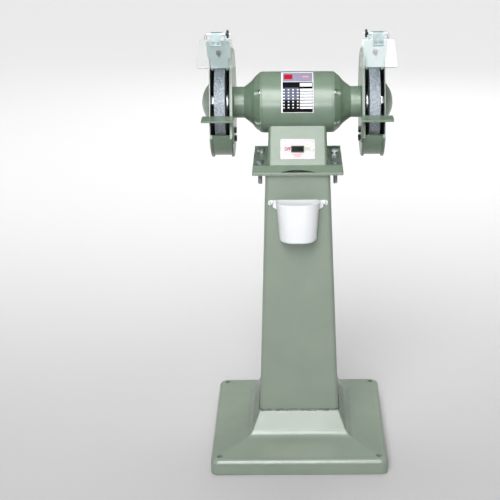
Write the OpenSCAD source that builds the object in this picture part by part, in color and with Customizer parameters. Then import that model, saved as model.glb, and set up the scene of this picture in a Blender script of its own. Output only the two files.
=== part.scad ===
// Pedestal grinder: two 200 mm wheels on one motor spindle, on a tapered steel column.
// X runs along the spindle to the operator's right, -Y faces the operator, Z is up.
// The origin is the centre of the footprint, on the floor.

/* [Base pan] */
// Side of the square base pan
base_w = 440; // [420:5:480]
// Height of the pan's flat rim
base_rim_h = 41; // [36:1:50]
// Height of the raised foot that carries the column
base_h = 117; // [105:1:130]
// Sheet thickness of the pan
base_wall = 4; // [3:0.5:5]
// Radius of the pan's corners in plan
base_corner_r = 18; // [14:1:24]
// Radius of the pan's rolled top edge
base_edge_r = 12; // [8:1:14]
// Width of the turned-in bottom flange
base_lip_w = 16; // [12:1:20]
// Distance of the anchor holes' centres from the pan's sides
anchor_inset = 22.5; // [21:0.5:27.5]
// Diameter of the anchor holes
anchor_d = 13; // [10:0.5:14]
// Outer diameter of the sleeves under the anchor holes
anchor_sleeve_d = 22; // [19:1:26]

/* [Column] */
// Side of the column at its foot
column_foot_w = 199; // [185:1:205]
// Side of the column under the top plate
column_top_w = 154; // [140:1:160]
// Height of the column
column_h = 616.5; // [560:0.5:680]
// Sheet thickness of the column
column_wall = 3; // [2:0.5:4]
// Radius of the column's upright edges
column_edge_r = 10; // [6:1:14]

/* [Top plate] */
// Width of the top plate beyond the motor foot, on each side
plate_margin_x = 2; // [0.5:0.5:8]
// Depth of the top plate beyond the motor foot, front and rear
plate_margin_y = 3; // [0.5:0.5:8]
// Thickness of the top plate
plate_t = 7; // [6:0.5:10]

/* [Motor foot] */
// Height of the spindle above the top plate
spindle_rise = 149.5; // [146:0.5:160]
// Width of the foot casting's flange
foot_w = 212; // [208:1:214]
// Depth of the foot casting's flange
foot_d = 166; // [162:1:170]
// Height of the bolting pads
foot_pad_h = 11.5; // [10:0.5:13]
// Height of the front and rear rims
foot_rim_h = 17; // [15:0.5:19]
// Thickness of the front and rear rims
foot_rim_t = 8; // [6:0.5:10]
// Width of the switch box at its bottom
box_foot_w = 142; // [138:1:148]
// Width of the switch box at its top
box_top_w = 136; // [126:1:138]
// Wall of the switch box
box_wall = 6; // [5:0.5:8]
// Width of the arched slot under the front rim
arch_w = 82; // [60:1:100]
// Height of the arched slot
arch_h = 6; // [4:0.5:8]
// Distance of the foot bolts' centres from the flange's ends
foot_bolt_inset = 16; // [14:0.5:18]
// Distance between foot bolts from front to back
foot_bolt_dy = 90; // [80:1:100]
// Thread diameter of the foot bolts
foot_bolt_d = 10; // [8:1:12]
// Length of the foot bolts under their heads
foot_bolt_l = 52; // [36:1:60]

/* [Switch] */
// Width of the switch plate
switch_plate_w = 82; // [74:1:100]
// Height of the switch plate
switch_plate_h = 48; // [40:1:52]
// Thickness of the switch plate
switch_plate_t = 1.5; // [1:0.25:2.5]
// Height of the switch centre above the top plate
switch_rise = 54; // [50:0.5:56]
// Width of the rocker switch's bezel
bezel_w = 31; // [30:0.5:33]
// Height of the rocker switch's bezel
bezel_h = 16; // [15:0.5:18]
// Distance between the switch plate's screws
plate_screw_dx = 68; // [60:1:70]
// Tilt of the rocker to either side
rocker_tilt = 8; // [5:1:10]

/* [Motor] */
// Outer radius of the motor shell
shell_r = 72; // [70:0.5:73]
// Length of the motor shell
shell_l = 165.2; // [156:0.2:168]
// Wall of the motor shell
shell_wall = 12; // [10:0.5:14]
// Radius of the end shields' necks
neck_r = 36.7; // [35:0.1:40]
// Half width over the end faces of the necks
neck_end_x = 148; // [146:0.5:150]
// Radius of the circle of end shield screws
shield_screw_pcr = 66; // [65:0.25:67]
// Angle of the end shield screws above and below the horizontal
shield_screw_angle = 33; // [25:1:45]
// Width of the rating plate
rating_w = 74.5; // [50:0.5:90]
// Thickness of the rating plate
rating_t = 0.6; // [0.4:0.1:1]

/* [Spindle] */
// Diameter of the spindle ends and of the bearing bore
spindle_d = 20; // [18:0.5:21]
// Diameter of the spindle between the bearings
spindle_body_d = 25; // [24:0.5:26]
// Outer diameter of the bearings
bearing_d = 47; // [46:0.5:49]
// Width of the bearings
bearing_w = 14; // [13:0.5:15]
// Diameter of the bearing balls
ball_d = 7.8; // [7:0.1:8]
// Balls in each bearing
ball_count = 8; // [6:1:9]

/* [Wheels] */
// Diameter of the grinding wheels
wheel_d = 200; // [190:1:201]
// Width of the grinding wheels
wheel_w = 25; // [20:0.5:26]
// Bore of the grinding wheels
wheel_bore = 32; // [30:0.5:38]
// Distance from the machine's centre to the wheel's inner face
wheel_x = 166.5; // [165:0.5:168]
// Diameter of the clamping flanges
flange_d = 68; // [60:1:80]
// Thickness of the inner flange's disc
inner_flange_t = 8; // [6:0.5:8]
// Thickness of the outer flange
outer_flange_t = 4.6; // [3:0.2:5]
// Thickness of the paper blotters
blotter_t = 0.6; // [0.4:0.1:1]
// Width across flats of the spindle nuts
nut_af = 30; // [28:0.5:32]
// Thickness of the spindle nuts
nut_t = 10; // [8:0.5:11]

/* [Guards] */
// Radius of the guard's side walls
guard_r = 129; // [127:0.5:132]
// Distance from the machine's centre to the guard's inner wall
guard_x = 150; // [149.5:0.5:151]
// Thickness of the guard's inner wall
guard_wall = 6; // [5:0.5:7]
// Outer radius of the guard's band
band_r = 124.5; // [122:0.5:125]
// Thickness of the band
band_t = 5; // [4:0.5:6]
// Inside width of the guard
guard_inside_w = 45; // [44:0.5:47]
// Thickness of the cover sheet
cover_t = 2; // [1.5:0.25:2.5]
// Radius of the cover's dome where it meets the sheet
dome_r = 50; // [44:1:56]
// Height of the cover's dome
dome_h = 23; // [20:0.5:26]
// Angle of the upper end of the opening above the horizontal
opening_top = 65; // [58:1:70]
// Angle of the lower end of the opening below the horizontal
opening_bottom = 25; // [20:1:30]

/* [Tool rests] */
// Width of the rest's table
rest_w = 73.7; // [66:0.1:76]
// Depth of the rest's table
rest_d = 39.8; // [30:0.1:44]
// Thickness of the rest's table
rest_t = 5; // [4:0.5:6]
// Depth of the table's top below the spindle
rest_drop = 7; // [4:0.5:9]
// Gap between the table and the wheel
rest_gap = 2.4; // [2:0.1:4]
// Thickness of the rest's arm
arm_t = 4; // [3:0.5:5]
// Thread diameter of the rest bolts
rest_bolt_d = 8; // [6:0.5:8]
// Distance between the two rest bolts
rest_bolt_dz = 20; // [18:1:24]
// Outward travel of the rest
rest_travel = 16; // [10:1:18]

/* [Eye shields] */
// Thickness of the spark deflector
deflector_t = 3; // [2:0.5:4]
// Width of the deflector's upper edge
deflector_top_w = 54.6; // [50:0.2:60]
// Radius of the deflector's upper edge from the spindle
deflector_top_r = 180; // [170:1:184]
// Gap between the deflector and the wheel
deflector_gap = 4; // [3.5:0.25:6]
// Outward travel of the deflector
deflector_travel = 12; // [8:1:14]
// Diameter of the shield rod
rod_d = 5; // [4:0.25:6]
// Radius of the shield rod from the spindle
rod_r = 200.7; // [198:0.1:204]
// Width of the pane's upper edge
pane_top_w = 74; // [64:1:80]
// Width of the pane's lower edge
pane_w = 86; // [80:1:88]
// Height of the pane
pane_h = 71; // [60:1:76]
// Thickness of the pane
pane_t = 3; // [2:0.25:3.5]
// Angle of the hanging pane in front of the vertical
pane_lean = 39; // [30:1:50]

/* [Water bucket] */
// Width of the bucket at its rim
bucket_top_w = 104; // [90:1:110]
// Width of the bucket at its bottom
bucket_foot_w = 89; // [76:1:92]
// Depth of the bucket from front to back
bucket_d = 50; // [40:1:60]
// Height of the bucket
bucket_h = 97; // [80:1:110]
// Wall of the bucket
bucket_wall = 2.5; // [2:0.25:3.5]
// Depth of the bucket's rim below the top plate
bucket_drop = 62; // [50:1:90]
// Distance between the bucket's screws
bucket_screw_dx = 126; // [124:1:132]

/* [Fits] */
// Gap beside faces that slide or hang next to each other
slide_gap = 0.3; // [0.2:0.05:0.4]
// Radial clearance of pins and shafts that turn
run_gap = 0.05; // [0.02:0.01:0.08]
// Radial clearance of seats that do not move
seat_gap = 0.02; // [0.01:0.01:0.05]
// Radial clearance round bolts that pass through
bolt_gap = 0.5; // [0.3:0.05:0.8]

/* [Hidden] */
$fn = 64;
HULL_FN = 32;
// Overshoot of cuts past a face
cut = 1;
PAINT = [0.60, 0.66, 0.59];
DARK_STEEL = [0.35, 0.35, 0.37];
BRIGHT_STEEL = [0.75, 0.75, 0.77];

// Pan and plate
anchor_spacing = base_w - 2 * anchor_inset;
plate_w = foot_w + 2 * plate_margin_x;
plate_d = foot_d + 2 * plate_margin_y;
foot_bolt_dx = foot_w - 2 * foot_bolt_inset;

// Heights that everything else is set from
plate_z = base_h + column_h;
foot_z = plate_z + plate_t;
spindle_z = foot_z + spindle_rise;
pad_z = foot_z + foot_pad_h;
rim_z = foot_z + foot_rim_h;

// Column faces
column_lean = atan((column_foot_w - column_top_w) / 2 / column_h);
function column_half(z) =
    column_foot_w / 2 - (z - base_h) * (column_foot_w - column_top_w) / 2 / column_h;

// Raised foot of the pan: a steep skirt, then a shallow apron out to the rim
bell_knee_x = column_foot_w / 2 + 23;
bell_knee_z = base_rim_h + 16;
bell_foot_x = base_w / 2 - base_edge_r - 3;
bell_fillet_r = 28;

// Bucket
bucket_top_z = plate_z - bucket_drop;
bucket_ear_w = 19;
bucket_ear_t = 3;
bucket_screw_drop = 6.5;
bucket_screw_d = 5;
bucket_taper_d = 5;
bucket_front_r = min(22, (bucket_d - bucket_taper_d) / 2);
bucket_back_r = 8;

// Switch box: its front and rear faces lean back towards the shell
box_top_z = spindle_z - sqrt(pow(shell_r, 2) - pow(box_top_y(), 2));
function box_top_y() = shell_r * 0.8;
box_foot_y = foot_d / 2 - 3;
box_lean = atan((box_foot_y - box_top_y()) / (box_top_z - rim_z));
function box_face_y(z) = box_foot_y - (z - rim_z) * tan(box_lean);
box_edge_r = 7;
foot_bolt_af = 17;
foot_bolt_head_h = 6.4;
foot_washer_d = 20;
foot_washer_t = 2;
saddle_gap = 0.1;
saddle_bolt_x = 45;
saddle_bolt_d = 8;
saddle_bolt_l = 20;
small_bolt_af = 13;
small_bolt_head_h = 5.3;
saddle_pad_t = 6;
wire_hole_d = 16;
switch_z = foot_z + switch_rise;
switch_body_w = bezel_w - 3;
switch_body_h = bezel_h - 3;
switch_body_l = 24;
bezel_t = 2;
rocker_w = switch_body_w - 3.4;
rocker_h = switch_body_h - 3;
rocker_pivot_h = 0.6;
rocker_front_h = 3.2;
rocker_waist_h = 1.8;
rocker_back_h = 4;
gland_rise = 38;
gland_z = foot_z + gland_rise;
gland_boss_r = 15;
gland_face_y = box_foot_y;
gland_thread_d = 16;
gland_bore_d = 9;
gland_thread_l = 12;
gland_hex_r = 12.5;
gland_hex_l = 6;
gland_neck_r = 10.5;
gland_neck_l = 3;
gland_cap_r = 11.5;
gland_cap_end_r = 8;
gland_cap_l = 11;
capacitor_r = 18;
capacitor_l = 76;
capacitor_y = 34;

// Motor
shell_bore_r = shell_r - shell_wall;
shell_end_x = shell_l / 2;
spigot_l = 4.6;
bearing_x = neck_end_x - bearing_w - 16;
seal_bore_r = 14.5;
neck_spigot_r = 20;
neck_spigot_l = 3;
pocket_seat_t = 4.4;
pocket_r = 7.5;
shield_screw_d = 5;
guard_bolt_pcr = 30;
guard_bolt_d = 6;
guard_bolt_count = 3;
stator_l = 90;
stator_bore_r = 33;
stator_slots = 18;
stator_slot_r = 3.4;
stator_slot_depth = 9;
winding_overhang = 22;
rotor_ring_l = 7;
rating_low_angle = -6;
rating_high_angle = 86;
air_gap = 0.4;
spindle_end_x = 212;

// Guard
guard_end_x = guard_x + guard_wall + guard_inside_w;
guard_rim_t = 4;
guard_rim_overlap = 2;
band_in_r = band_r - band_t;
opening_mid = (opening_top - opening_bottom) / 2;
opening_half = (opening_top + opening_bottom) / 2;
// The side walls reach a little past the ends of the band
opening_d = (band_r + 1) * cos(opening_half);
cover_boss_r = 6;
cover_boss_l = 16;
cover_boss_pcr = band_in_r - cover_boss_r + 1.5;
COVER_BOSS_ANGLES = [20, 110, 190];
cover_screw_d = 5;
lug_w = 26;
lug_t = 8;
lug_top_r = 160;
lug_screw_r = 148;
lug_screw_d = 6;
lug_screw_af = 10;
lug_screw_head_h = 4;
lug_washer_d = 13;
lug_washer_t = 1.2;

// Tool rest: the arm lies on the motor side of the guard's inner wall
rest_x = guard_x - slide_gap - arm_t;
rest_top_z = spindle_z - rest_drop;
rest_back_y = -(wheel_d / 2 + rest_gap - 0.2);
rest_bolt_y = -100;
rest_bolt_drop = 40;
arm_front_y = rest_bolt_y - 14;
arm_back_y = rest_bolt_y + rest_travel + 14;
rest_inward = 1.5;

// Deflector and eye shield, centred on the wheel
wheel_mid_x = wheel_x + wheel_w / 2;
deflector_foot_r = wheel_d / 2 + deflector_gap;
deflector_inward = 2;
deflector_foot_w = guard_inside_w - 3;
deflector_wing_drop = 7;
// Above this the plate stays clear of the side walls, also when it is slid right in
deflector_shoulder_r = band_r + deflector_inward + 2;
rod_offset = 4.6;
rod_inner_x = 150;
rod_outer_x = 205.5;
rod_bend_r = 5;
rod_leg_l = 7;
tab_x = 161;
tab_t = 3;
tab_r = 6.5;
wing_nut_w = 7.5;
wing_hub_r = 4.5;
wing_r = 9.5;
wing_t = 2.4;
rod_y = -(rod_r * cos(opening_top) + rod_offset * sin(opening_top));
rod_z = spindle_z + rod_r * sin(opening_top) - rod_offset * cos(opening_top);
pane_mid_x = 182.6;
pane_start = 14;
pane_corner_r = 7;
clip_w = 24;
clip_t = 2;
clip_reach = 32;
shield_screw_dx = 12;
shield_screw_reach = 24;
pane_screw_d = 4;

// ---- helpers ----

function unit(v) = v / norm(v);
// Points of the arc of radius r that rounds corner b between a and c
function corner_arc(a, b, c, r, n = 6) =
    let (
        u = unit(a - b),
        v = unit(c - b),
        half = acos(u * v) / 2,
        o = b + unit(u + v) * r / sin(half),
        s = b + u * r / tan(half) - o,
        e = b + v * r / tan(half) - o,
        from = atan2(s[1], s[0]),
        sweep = ((atan2(e[1], e[0]) - from + 540) % 360) - 180
    )
    [for (i = [0:n]) o + r * [cos(from + sweep * i / n), sin(from + sweep * i / n)]];
// Outline through [x, y, radius] corners
function rounded(p) =
    let (n = len(p))
    [for (i = [0:n - 1])
        let (a = p[(i + n - 1) % n], b = p[i], c = p[(i + 1) % n])
        each (b[2] > 0
            ? corner_arc([a[0], a[1]], [b[0], b[1]], [c[0], c[1]], b[2])
            : [[b[0], b[1]]])];
// Both halves of a profile that is symmetrical about x = 0
function both_sides(p) = concat(p, [for (i = [len(p) - 1:-1:0]) [-p[i][0], p[i][1]]]);

module rounded_rect(w, d, r) {
    square([w - 2 * r, d], center = true);
    square([w, d - 2 * r], center = true);
    for (x = [-1, 1], y = [-1, 1]) translate([x * (w / 2 - r), y * (d / 2 - r)]) circle(r);
}

module on_side(side) {
    if (side == "left") mirror([1, 0, 0]) children();
    else children();
}

module both() {
    on_side("left") children();
    on_side("right") children();
}

module at_spindle() translate([0, 0, spindle_z]) children();

// Turns a solid that stands on Z so that it lies along X
module along_x(x = 0) translate([x, 0, 0]) rotate([0, 90, 0]) children();

// Revolves a profile of [radius, x] points about the spindle
module revolve(points) at_spindle() rotate([0, 90, 0]) rotate_extrude() polygon(points);

// Places children at radius r and angle a above the horizontal, in front of the spindle
module around(r, a) at_spindle() translate([0, -r * cos(a), r * sin(a)]) children();

// Local XY plane = the radial plane at the top of the opening, local Z = towards the operator
module on_opening_plane() at_spindle() rotate([180 - opening_top, 0, 0]) children();

// Local Y = up the front face of the switch box, local Z = out of it
module on_box_front(z) translate([0, -box_face_y(z), z]) rotate([90 - box_lean, 0, 0])
    translate([0, 0, seat_gap]) children();

// Local Z = out of the column's front face, local Y = up that face
module on_column_front(z)
    translate([0, -column_half(z), z]) rotate([90 - column_lean, 0, 0]) children();

// Local Y = from the rod down the pane, local Z = out of the pane's front
module on_pane() translate([0, rod_y, rod_z]) rotate([270 - pane_lean, 0, 0]) mirror([0, 0, 1]) children();

module foot_bolt_places()
    for (x = [-1, 1], y = [-1, 1]) translate([x * foot_bolt_dx / 2, y * foot_bolt_dy / 2, 0]) children();

// Hexagon bolt with its seat at z = 0 and its shank down
module hex_bolt(d, l, af, h) {
    cylinder(r = af / 2 / cos(30), h = h, $fn = 6);
    translate([0, 0, -l]) cylinder(d = d, h = l + h / 2);
}

// Pan head screw with its seat at z = 0 and its shank down
module pan_screw(d, l) {
    difference() {
        union() {
            cylinder(d = d * 1.9, h = d * 0.6);
            translate([0, 0, -l]) cylinder(d = d, h = l + d * 0.3);
        }
        for (a = [0, 90])
            rotate(a) translate([0, 0, d * 0.6]) cube([d * 1.1, d * 0.2, d * 0.6], center = true);
    }
}

module washer(d, hole, t) difference() {
    cylinder(d = d, h = t);
    translate([0, 0, -cut]) cylinder(d = hole, h = t + 2 * cut);
}

// ---- stand ----

// Outline of the pan in section, drawn in by t on every outer face
function pan_profile(t) = both_sides(concat(
    [[base_w / 2 - t, t > 0 ? -cut : 0]],
    corner_arc(
        [base_w / 2 - t, 0], [base_w / 2 - t, base_rim_h - t], [0, base_rim_h - t],
        base_edge_r - t * 0.5),
    [[bell_foot_x - t, base_rim_h - t]],
    corner_arc(
        [bell_foot_x - t, base_rim_h - t], [bell_knee_x - t, bell_knee_z - t],
        [column_foot_w / 2 - t, base_h - t], bell_fillet_r),
    [[column_foot_w / 2 - t, base_h - t]]));

module pan_form(t) intersection() {
    rotate([90, 0, 0]) linear_extrude(base_w + cut, center = true) polygon(pan_profile(t));
    rotate([90, 0, 90]) linear_extrude(base_w + cut, center = true) polygon(pan_profile(t));
    translate([0, 0, -2 * cut]) linear_extrude(base_h + 3 * cut)
        rounded_rect(base_w - 2 * t, base_w - 2 * t, base_corner_r - t);
}

module anchor_places()
    for (x = [-1, 1], y = [-1, 1])
        translate([x * anchor_spacing / 2, y * anchor_spacing / 2, 0]) children();

module base_pan() color(PAINT) difference() {
    union() {
        difference() {
            pan_form(0);
            pan_form(base_wall);
        }
        linear_extrude(base_wall) difference() {
            rounded_rect(base_w, base_w, base_corner_r);
            square(base_w - 2 * base_lip_w, center = true);
        }
        anchor_places() cylinder(d = anchor_sleeve_d, h = base_rim_h - base_wall / 2);
    }
    anchor_places() translate([0, 0, -cut]) cylinder(d = anchor_d, h = base_rim_h + 3 * cut);
}

module column_form(t) hull() {
    for (end = [[base_h, column_foot_w, 0], [plate_z, column_top_w, -0.01]])
        translate([0, 0, end[0] + end[2]]) linear_extrude(0.01, $fn = HULL_FN)
            rounded_rect(end[1] - 2 * t, end[1] - 2 * t, column_edge_r - t);
}

module column() color(PAINT) difference() {
    column_form(0);
    translate([0, 0, base_h - cut / 2]) linear_extrude(cut)
        square(column_foot_w - 4 * column_edge_r, center = true);
    translate([0, 0, plate_z - cut / 2]) linear_extrude(cut)
        square(column_top_w - 4 * column_edge_r, center = true);
    column_form(column_wall);
    bucket_screw_places() translate([0, 0, -3 * column_wall])
        cylinder(d = bucket_screw_d + 2 * seat_gap, h = 6 * column_wall);
}

module top_plate() color(PAINT) difference() {
    translate([0, 0, plate_z]) linear_extrude(plate_t) rounded_rect(plate_w, plate_d, 4);
    foot_bolt_places() translate([0, 0, plate_z - cut])
        cylinder(d = foot_bolt_d + 2 * seat_gap, h = plate_t + 2 * cut);
}

module bucket_screw_places() on_column_front(bucket_top_z)
    for (x = [-1, 1]) translate([x * bucket_screw_dx / 2, -bucket_screw_drop, 0]) children();

module bucket_screws() color(BRIGHT_STEEL) bucket_screw_places()
    translate([0, 0, bucket_ear_t + 2 * slide_gap]) pan_screw(bucket_screw_d, 14);

// Plan of the bucket, flat side on y = 0, drawn in by t
module bucket_plan(w, d, t) for (x = [-1, 1]) {
    translate([x * (w / 2 - bucket_back_r), bucket_back_r]) circle(bucket_back_r - t);
    translate([x * (w / 2 - bucket_front_r), d - bucket_front_r]) circle(bucket_front_r - t);
}

module bucket_form(t, lift) hull() {
    translate([0, lift, 0]) rotate([90, 0, 0]) linear_extrude(0.01, $fn = HULL_FN)
        bucket_plan(bucket_top_w, bucket_d, t);
    translate([0, t - bucket_h, 0]) rotate([90, 0, 0]) linear_extrude(0.01, $fn = HULL_FN)
        bucket_plan(bucket_foot_w, bucket_d - bucket_taper_d, t);
}

// Drawn on the column's front face: Y up the face, Z out of it
module water_bucket() color([0.93, 0.94, 0.96]) on_column_front(bucket_top_z) translate([0, 0, slide_gap]) {
    difference() {
        union() {
            bucket_form(0, 0);
            for (x = [-1, 1]) bucket_ear(x);
        }
        bucket_form(bucket_wall, cut);
        for (x = [-1, 1]) translate([x * bucket_screw_dx / 2, -bucket_screw_drop, -cut]) {
            cylinder(r = bucket_screw_d / 2 + slide_gap, h = bucket_ear_t + 2 * cut);
            translate([-bucket_screw_d / 2 - slide_gap, -bucket_ear_w, 0])
                cube([bucket_screw_d + 2 * slide_gap, bucket_ear_w, bucket_ear_t + 2 * cut]);
        }
    }
}

// One triangular hanging ear
module bucket_ear(x) mirror([x < 0 ? 1 : 0, 0, 0]) linear_extrude(bucket_ear_t)
    polygon([
        [bucket_top_w / 2 - bucket_back_r, 0],
        [bucket_top_w / 2 + bucket_ear_w, 0],
        [bucket_top_w / 2 + bucket_ear_w, -bucket_screw_drop - 4],
        [bucket_top_w / 2 - bucket_back_r, -bucket_ear_w - 8]
    ]);

// ---- motor foot ----

module box_form(t) hull() {
    translate([0, 0, foot_z - (t > 0 ? cut : 0)]) linear_extrude(0.01, $fn = HULL_FN)
        rounded_rect(box_foot_w - 2 * t, 2 * (box_face_y(foot_z) - t), box_edge_r);
    translate([0, 0, box_top_z + 12]) linear_extrude(0.01, $fn = HULL_FN)
        rounded_rect(box_top_w - 2 * t, 2 * (box_face_y(box_top_z + 12) - t), box_edge_r);
}

module motor_foot() color(PAINT) difference() {
    union() {
        translate([0, 0, foot_z]) linear_extrude(foot_pad_h) rounded_rect(foot_w, foot_d, 5);
        for (y = [-1, 1]) translate([0, y * (foot_d - foot_rim_t) / 2, foot_z])
            linear_extrude(foot_rim_h) rounded_rect(foot_w, foot_rim_t, 2);
        intersection() {
            difference() {
                box_form(0);
                difference() {
                    box_form(box_wall);
                    at_spindle() along_x(-shell_l) cylinder(r = shell_r + box_wall, h = 2 * shell_l);
                    for (x = [-1, 1]) translate([x * saddle_bolt_x, 0, 0])
                        cylinder(r = saddle_bolt_d, h = spindle_z);
                }
                for (x = [-1, 1]) translate([x * saddle_bolt_x, 0, 0])
                    cylinder(r = saddle_bolt_d + cut, h = saddle_seat_z());
            }
            translate([0, 0, foot_z]) linear_extrude(spindle_rise)
                square([box_foot_w, foot_d], center = true);
        }
        translate([0, gland_face_y, gland_z]) rotate([90, 0, 0])
            cylinder(r = gland_boss_r, h = gland_face_y - box_face_y(gland_z) + box_wall);
    }
    at_spindle() along_x(-shell_l) cylinder(r = shell_r + saddle_gap, h = 2 * shell_l);
    intersection() {
        box_form(box_wall);
        translate([0, 0, foot_z - cut]) linear_extrude(foot_pad_h + 2 * cut)
            square([box_foot_w, foot_d], center = true);
    }
    foot_bolt_places() translate([0, 0, foot_z - cut])
        cylinder(d = foot_bolt_d + 2 * bolt_gap, h = foot_pad_h + 2 * cut);
    for (x = [-1, 1]) translate([x * saddle_bolt_x, 0, foot_z])
        cylinder(d = saddle_bolt_d + 2 * bolt_gap, h = spindle_rise);
    translate([0, 0, foot_z]) cylinder(d = wire_hole_d, h = spindle_rise);
    on_box_front(switch_z) {
        cube([switch_body_w + bolt_gap, switch_body_h + bolt_gap, 4 * box_wall], center = true);
        for (x = [-1, 1]) translate([x * plate_screw_dx / 2, 0, -2 * box_wall])
            cylinder(d = 4 + 2 * seat_gap, h = 4 * box_wall);
    }
    translate([0, gland_face_y + cut, gland_z]) rotate([90, 0, 0])
        cylinder(d = gland_thread_d + 2 * seat_gap, h = foot_d / 2);
    translate([0, 0, foot_z]) arched_slot();
}

function saddle_seat_z() = spindle_z - shell_r - box_wall - saddle_pad_t;

// Low arch through the front rim, for the wiring tray
module arched_slot() {
    arch_r = (pow(arch_w / 2, 2) + pow(arch_h, 2)) / 2 / arch_h;
    rotate([90, 0, 0]) translate([0, 0, foot_d / 2 - foot_rim_t - cut]) linear_extrude(foot_rim_t + 2 * cut)
        difference() {
            translate([0, arch_h - arch_r]) circle(arch_r, $fn = 256);
            translate([-arch_r - cut, -2 * arch_r - cut]) square([2 * arch_r + 2 * cut, 2 * arch_r + cut]);
        }
}

module foot_bolts() color(DARK_STEEL) foot_bolt_places()
    translate([0, 0, pad_z + foot_washer_t])
        hex_bolt(foot_bolt_d, foot_bolt_l, foot_bolt_af, foot_bolt_head_h);

module foot_washers() color(BRIGHT_STEEL) foot_bolt_places()
    translate([0, 0, pad_z]) washer(foot_washer_d, foot_bolt_d + 2 * seat_gap, foot_washer_t);

module saddle_bolts() color(DARK_STEEL) for (x = [-1, 1])
    translate([x * saddle_bolt_x, 0, saddle_seat_z()]) mirror([0, 0, 1])
        hex_bolt(saddle_bolt_d, saddle_bolt_l, small_bolt_af, small_bolt_head_h);

module cable_gland() color([0.12, 0.12, 0.13]) translate([0, gland_face_y, gland_z]) rotate([-90, 0, 0])
    difference() {
        union() {
            translate([0, 0, -gland_thread_l]) cylinder(d = gland_thread_d, h = gland_thread_l + 2);
            cylinder(r = gland_hex_r, h = gland_hex_l, $fn = 6);
            translate([0, 0, gland_hex_l]) cylinder(r = gland_neck_r, h = gland_neck_l);
            translate([0, 0, gland_hex_l + gland_neck_l])
                cylinder(r1 = gland_cap_r, r2 = gland_cap_end_r, h = gland_cap_l);
        }
        translate([0, 0, -gland_thread_l - cut]) cylinder(
            d = gland_bore_d, h = gland_thread_l + gland_hex_l + gland_neck_l + gland_cap_l + 2 * cut);
    }

module run_capacitor() color([0.80, 0.80, 0.78])
    translate([-capacitor_l / 2, capacitor_y, foot_z + capacitor_r + slide_gap])
        rotate([0, 90, 0]) cylinder(r = capacitor_r, h = capacitor_l);

// ---- switch ----

module switch_plate() color([0.95, 0.95, 0.94]) on_box_front(switch_z) linear_extrude(switch_plate_t)
    difference() {
        rounded_rect(switch_plate_w, switch_plate_h, 4);
        square([switch_body_w + bolt_gap, switch_body_h + bolt_gap], center = true);
        for (x = [-1, 1]) translate([x * plate_screw_dx / 2, 0]) circle(d = 4 + bolt_gap);
    }

module switch_plate_screws() color(BRIGHT_STEEL) on_box_front(switch_z)
    for (x = [-1, 1]) translate([x * plate_screw_dx / 2, 0, switch_plate_t]) pan_screw(4, 10);

module switch_body() color([0.10, 0.10, 0.11]) on_box_front(switch_z) difference() {
    union() {
        translate([0, 0, switch_plate_t + bezel_t / 2]) cube([bezel_w, bezel_h, bezel_t], center = true);
        translate([0, 0, switch_plate_t + bezel_t / 2 - switch_body_l / 2])
            cube([switch_body_w, switch_body_h, switch_body_l], center = true);
    }
    translate([0, 0, switch_plate_t + bezel_t])
        cube([rocker_w + 2, rocker_h + 1, 2 * (bezel_t + rocker_back_h + 2)], center = true);
}

module switch_rocker() color([0.05, 0.08, 0.06]) on_box_front(switch_z)
    translate([0, 0, switch_plate_t + bezel_t + rocker_pivot_h - 2]) rotate([0, -rocker_tilt, 0])
        rotate([90, 0, 0]) linear_extrude(rocker_h, center = true) polygon([
            [-rocker_w / 2, -rocker_back_h], [rocker_w / 2, -rocker_back_h],
            [rocker_w / 2, rocker_front_h], [0, rocker_waist_h], [-rocker_w / 2, rocker_front_h]
        ]);

// ---- motor ----

module shield_screw_places() both() for (back = [0, 1]) mirror([0, back, 0])
    for (a = [-1, 1]) around(shield_screw_pcr, a * shield_screw_angle) children();

module motor_shell() color(PAINT) difference() {
    at_spindle() along_x(-shell_end_x) difference() {
        cylinder(r = shell_r, h = shell_l);
        translate([0, 0, -cut]) cylinder(r = shell_bore_r, h = shell_l + 2 * cut);
    }
    shield_screw_places() along_x(shell_end_x - 22)
        cylinder(d = shield_screw_d + 2 * seat_gap, h = 22 + cut);
    translate([0, 0, foot_z]) cylinder(d = wire_hole_d, h = spindle_rise);
    for (x = [-1, 1]) translate([x * saddle_bolt_x, 0, foot_z])
        cylinder(d = saddle_bolt_d + 2 * seat_gap, h = spindle_rise);
}

module rating_plate() color([0.85, 0.85, 0.86]) at_spindle() rotate([0, 90, 0])
    rotate([0, 0, 270 - rating_high_angle]) rotate_extrude(angle = rating_high_angle - rating_low_angle)
        translate([shell_r, -rating_w / 2]) square([rating_t, rating_w]);

module stator_core() color([0.45, 0.45, 0.47]) at_spindle() along_x(-stator_l / 2) difference() {
    cylinder(r = shell_bore_r - seat_gap, h = stator_l);
    translate([0, 0, -cut]) cylinder(r = stator_bore_r, h = stator_l + 2 * cut);
    for (i = [0:stator_slots - 1]) rotate(i * 360 / stator_slots)
        translate([stator_bore_r + stator_slot_depth, 0, -cut])
            cylinder(r = stator_slot_r, h = stator_l + 2 * cut);
}

module stator_windings() color([0.72, 0.38, 0.20]) both() revolve(rounded([
    [stator_bore_r + 4, stator_l / 2, 0], [shell_bore_r - 4, stator_l / 2, 0],
    [shell_bore_r - 5, stator_l / 2 + winding_overhang, 6],
    [stator_bore_r + 5, stator_l / 2 + winding_overhang, 6]
]));

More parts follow.
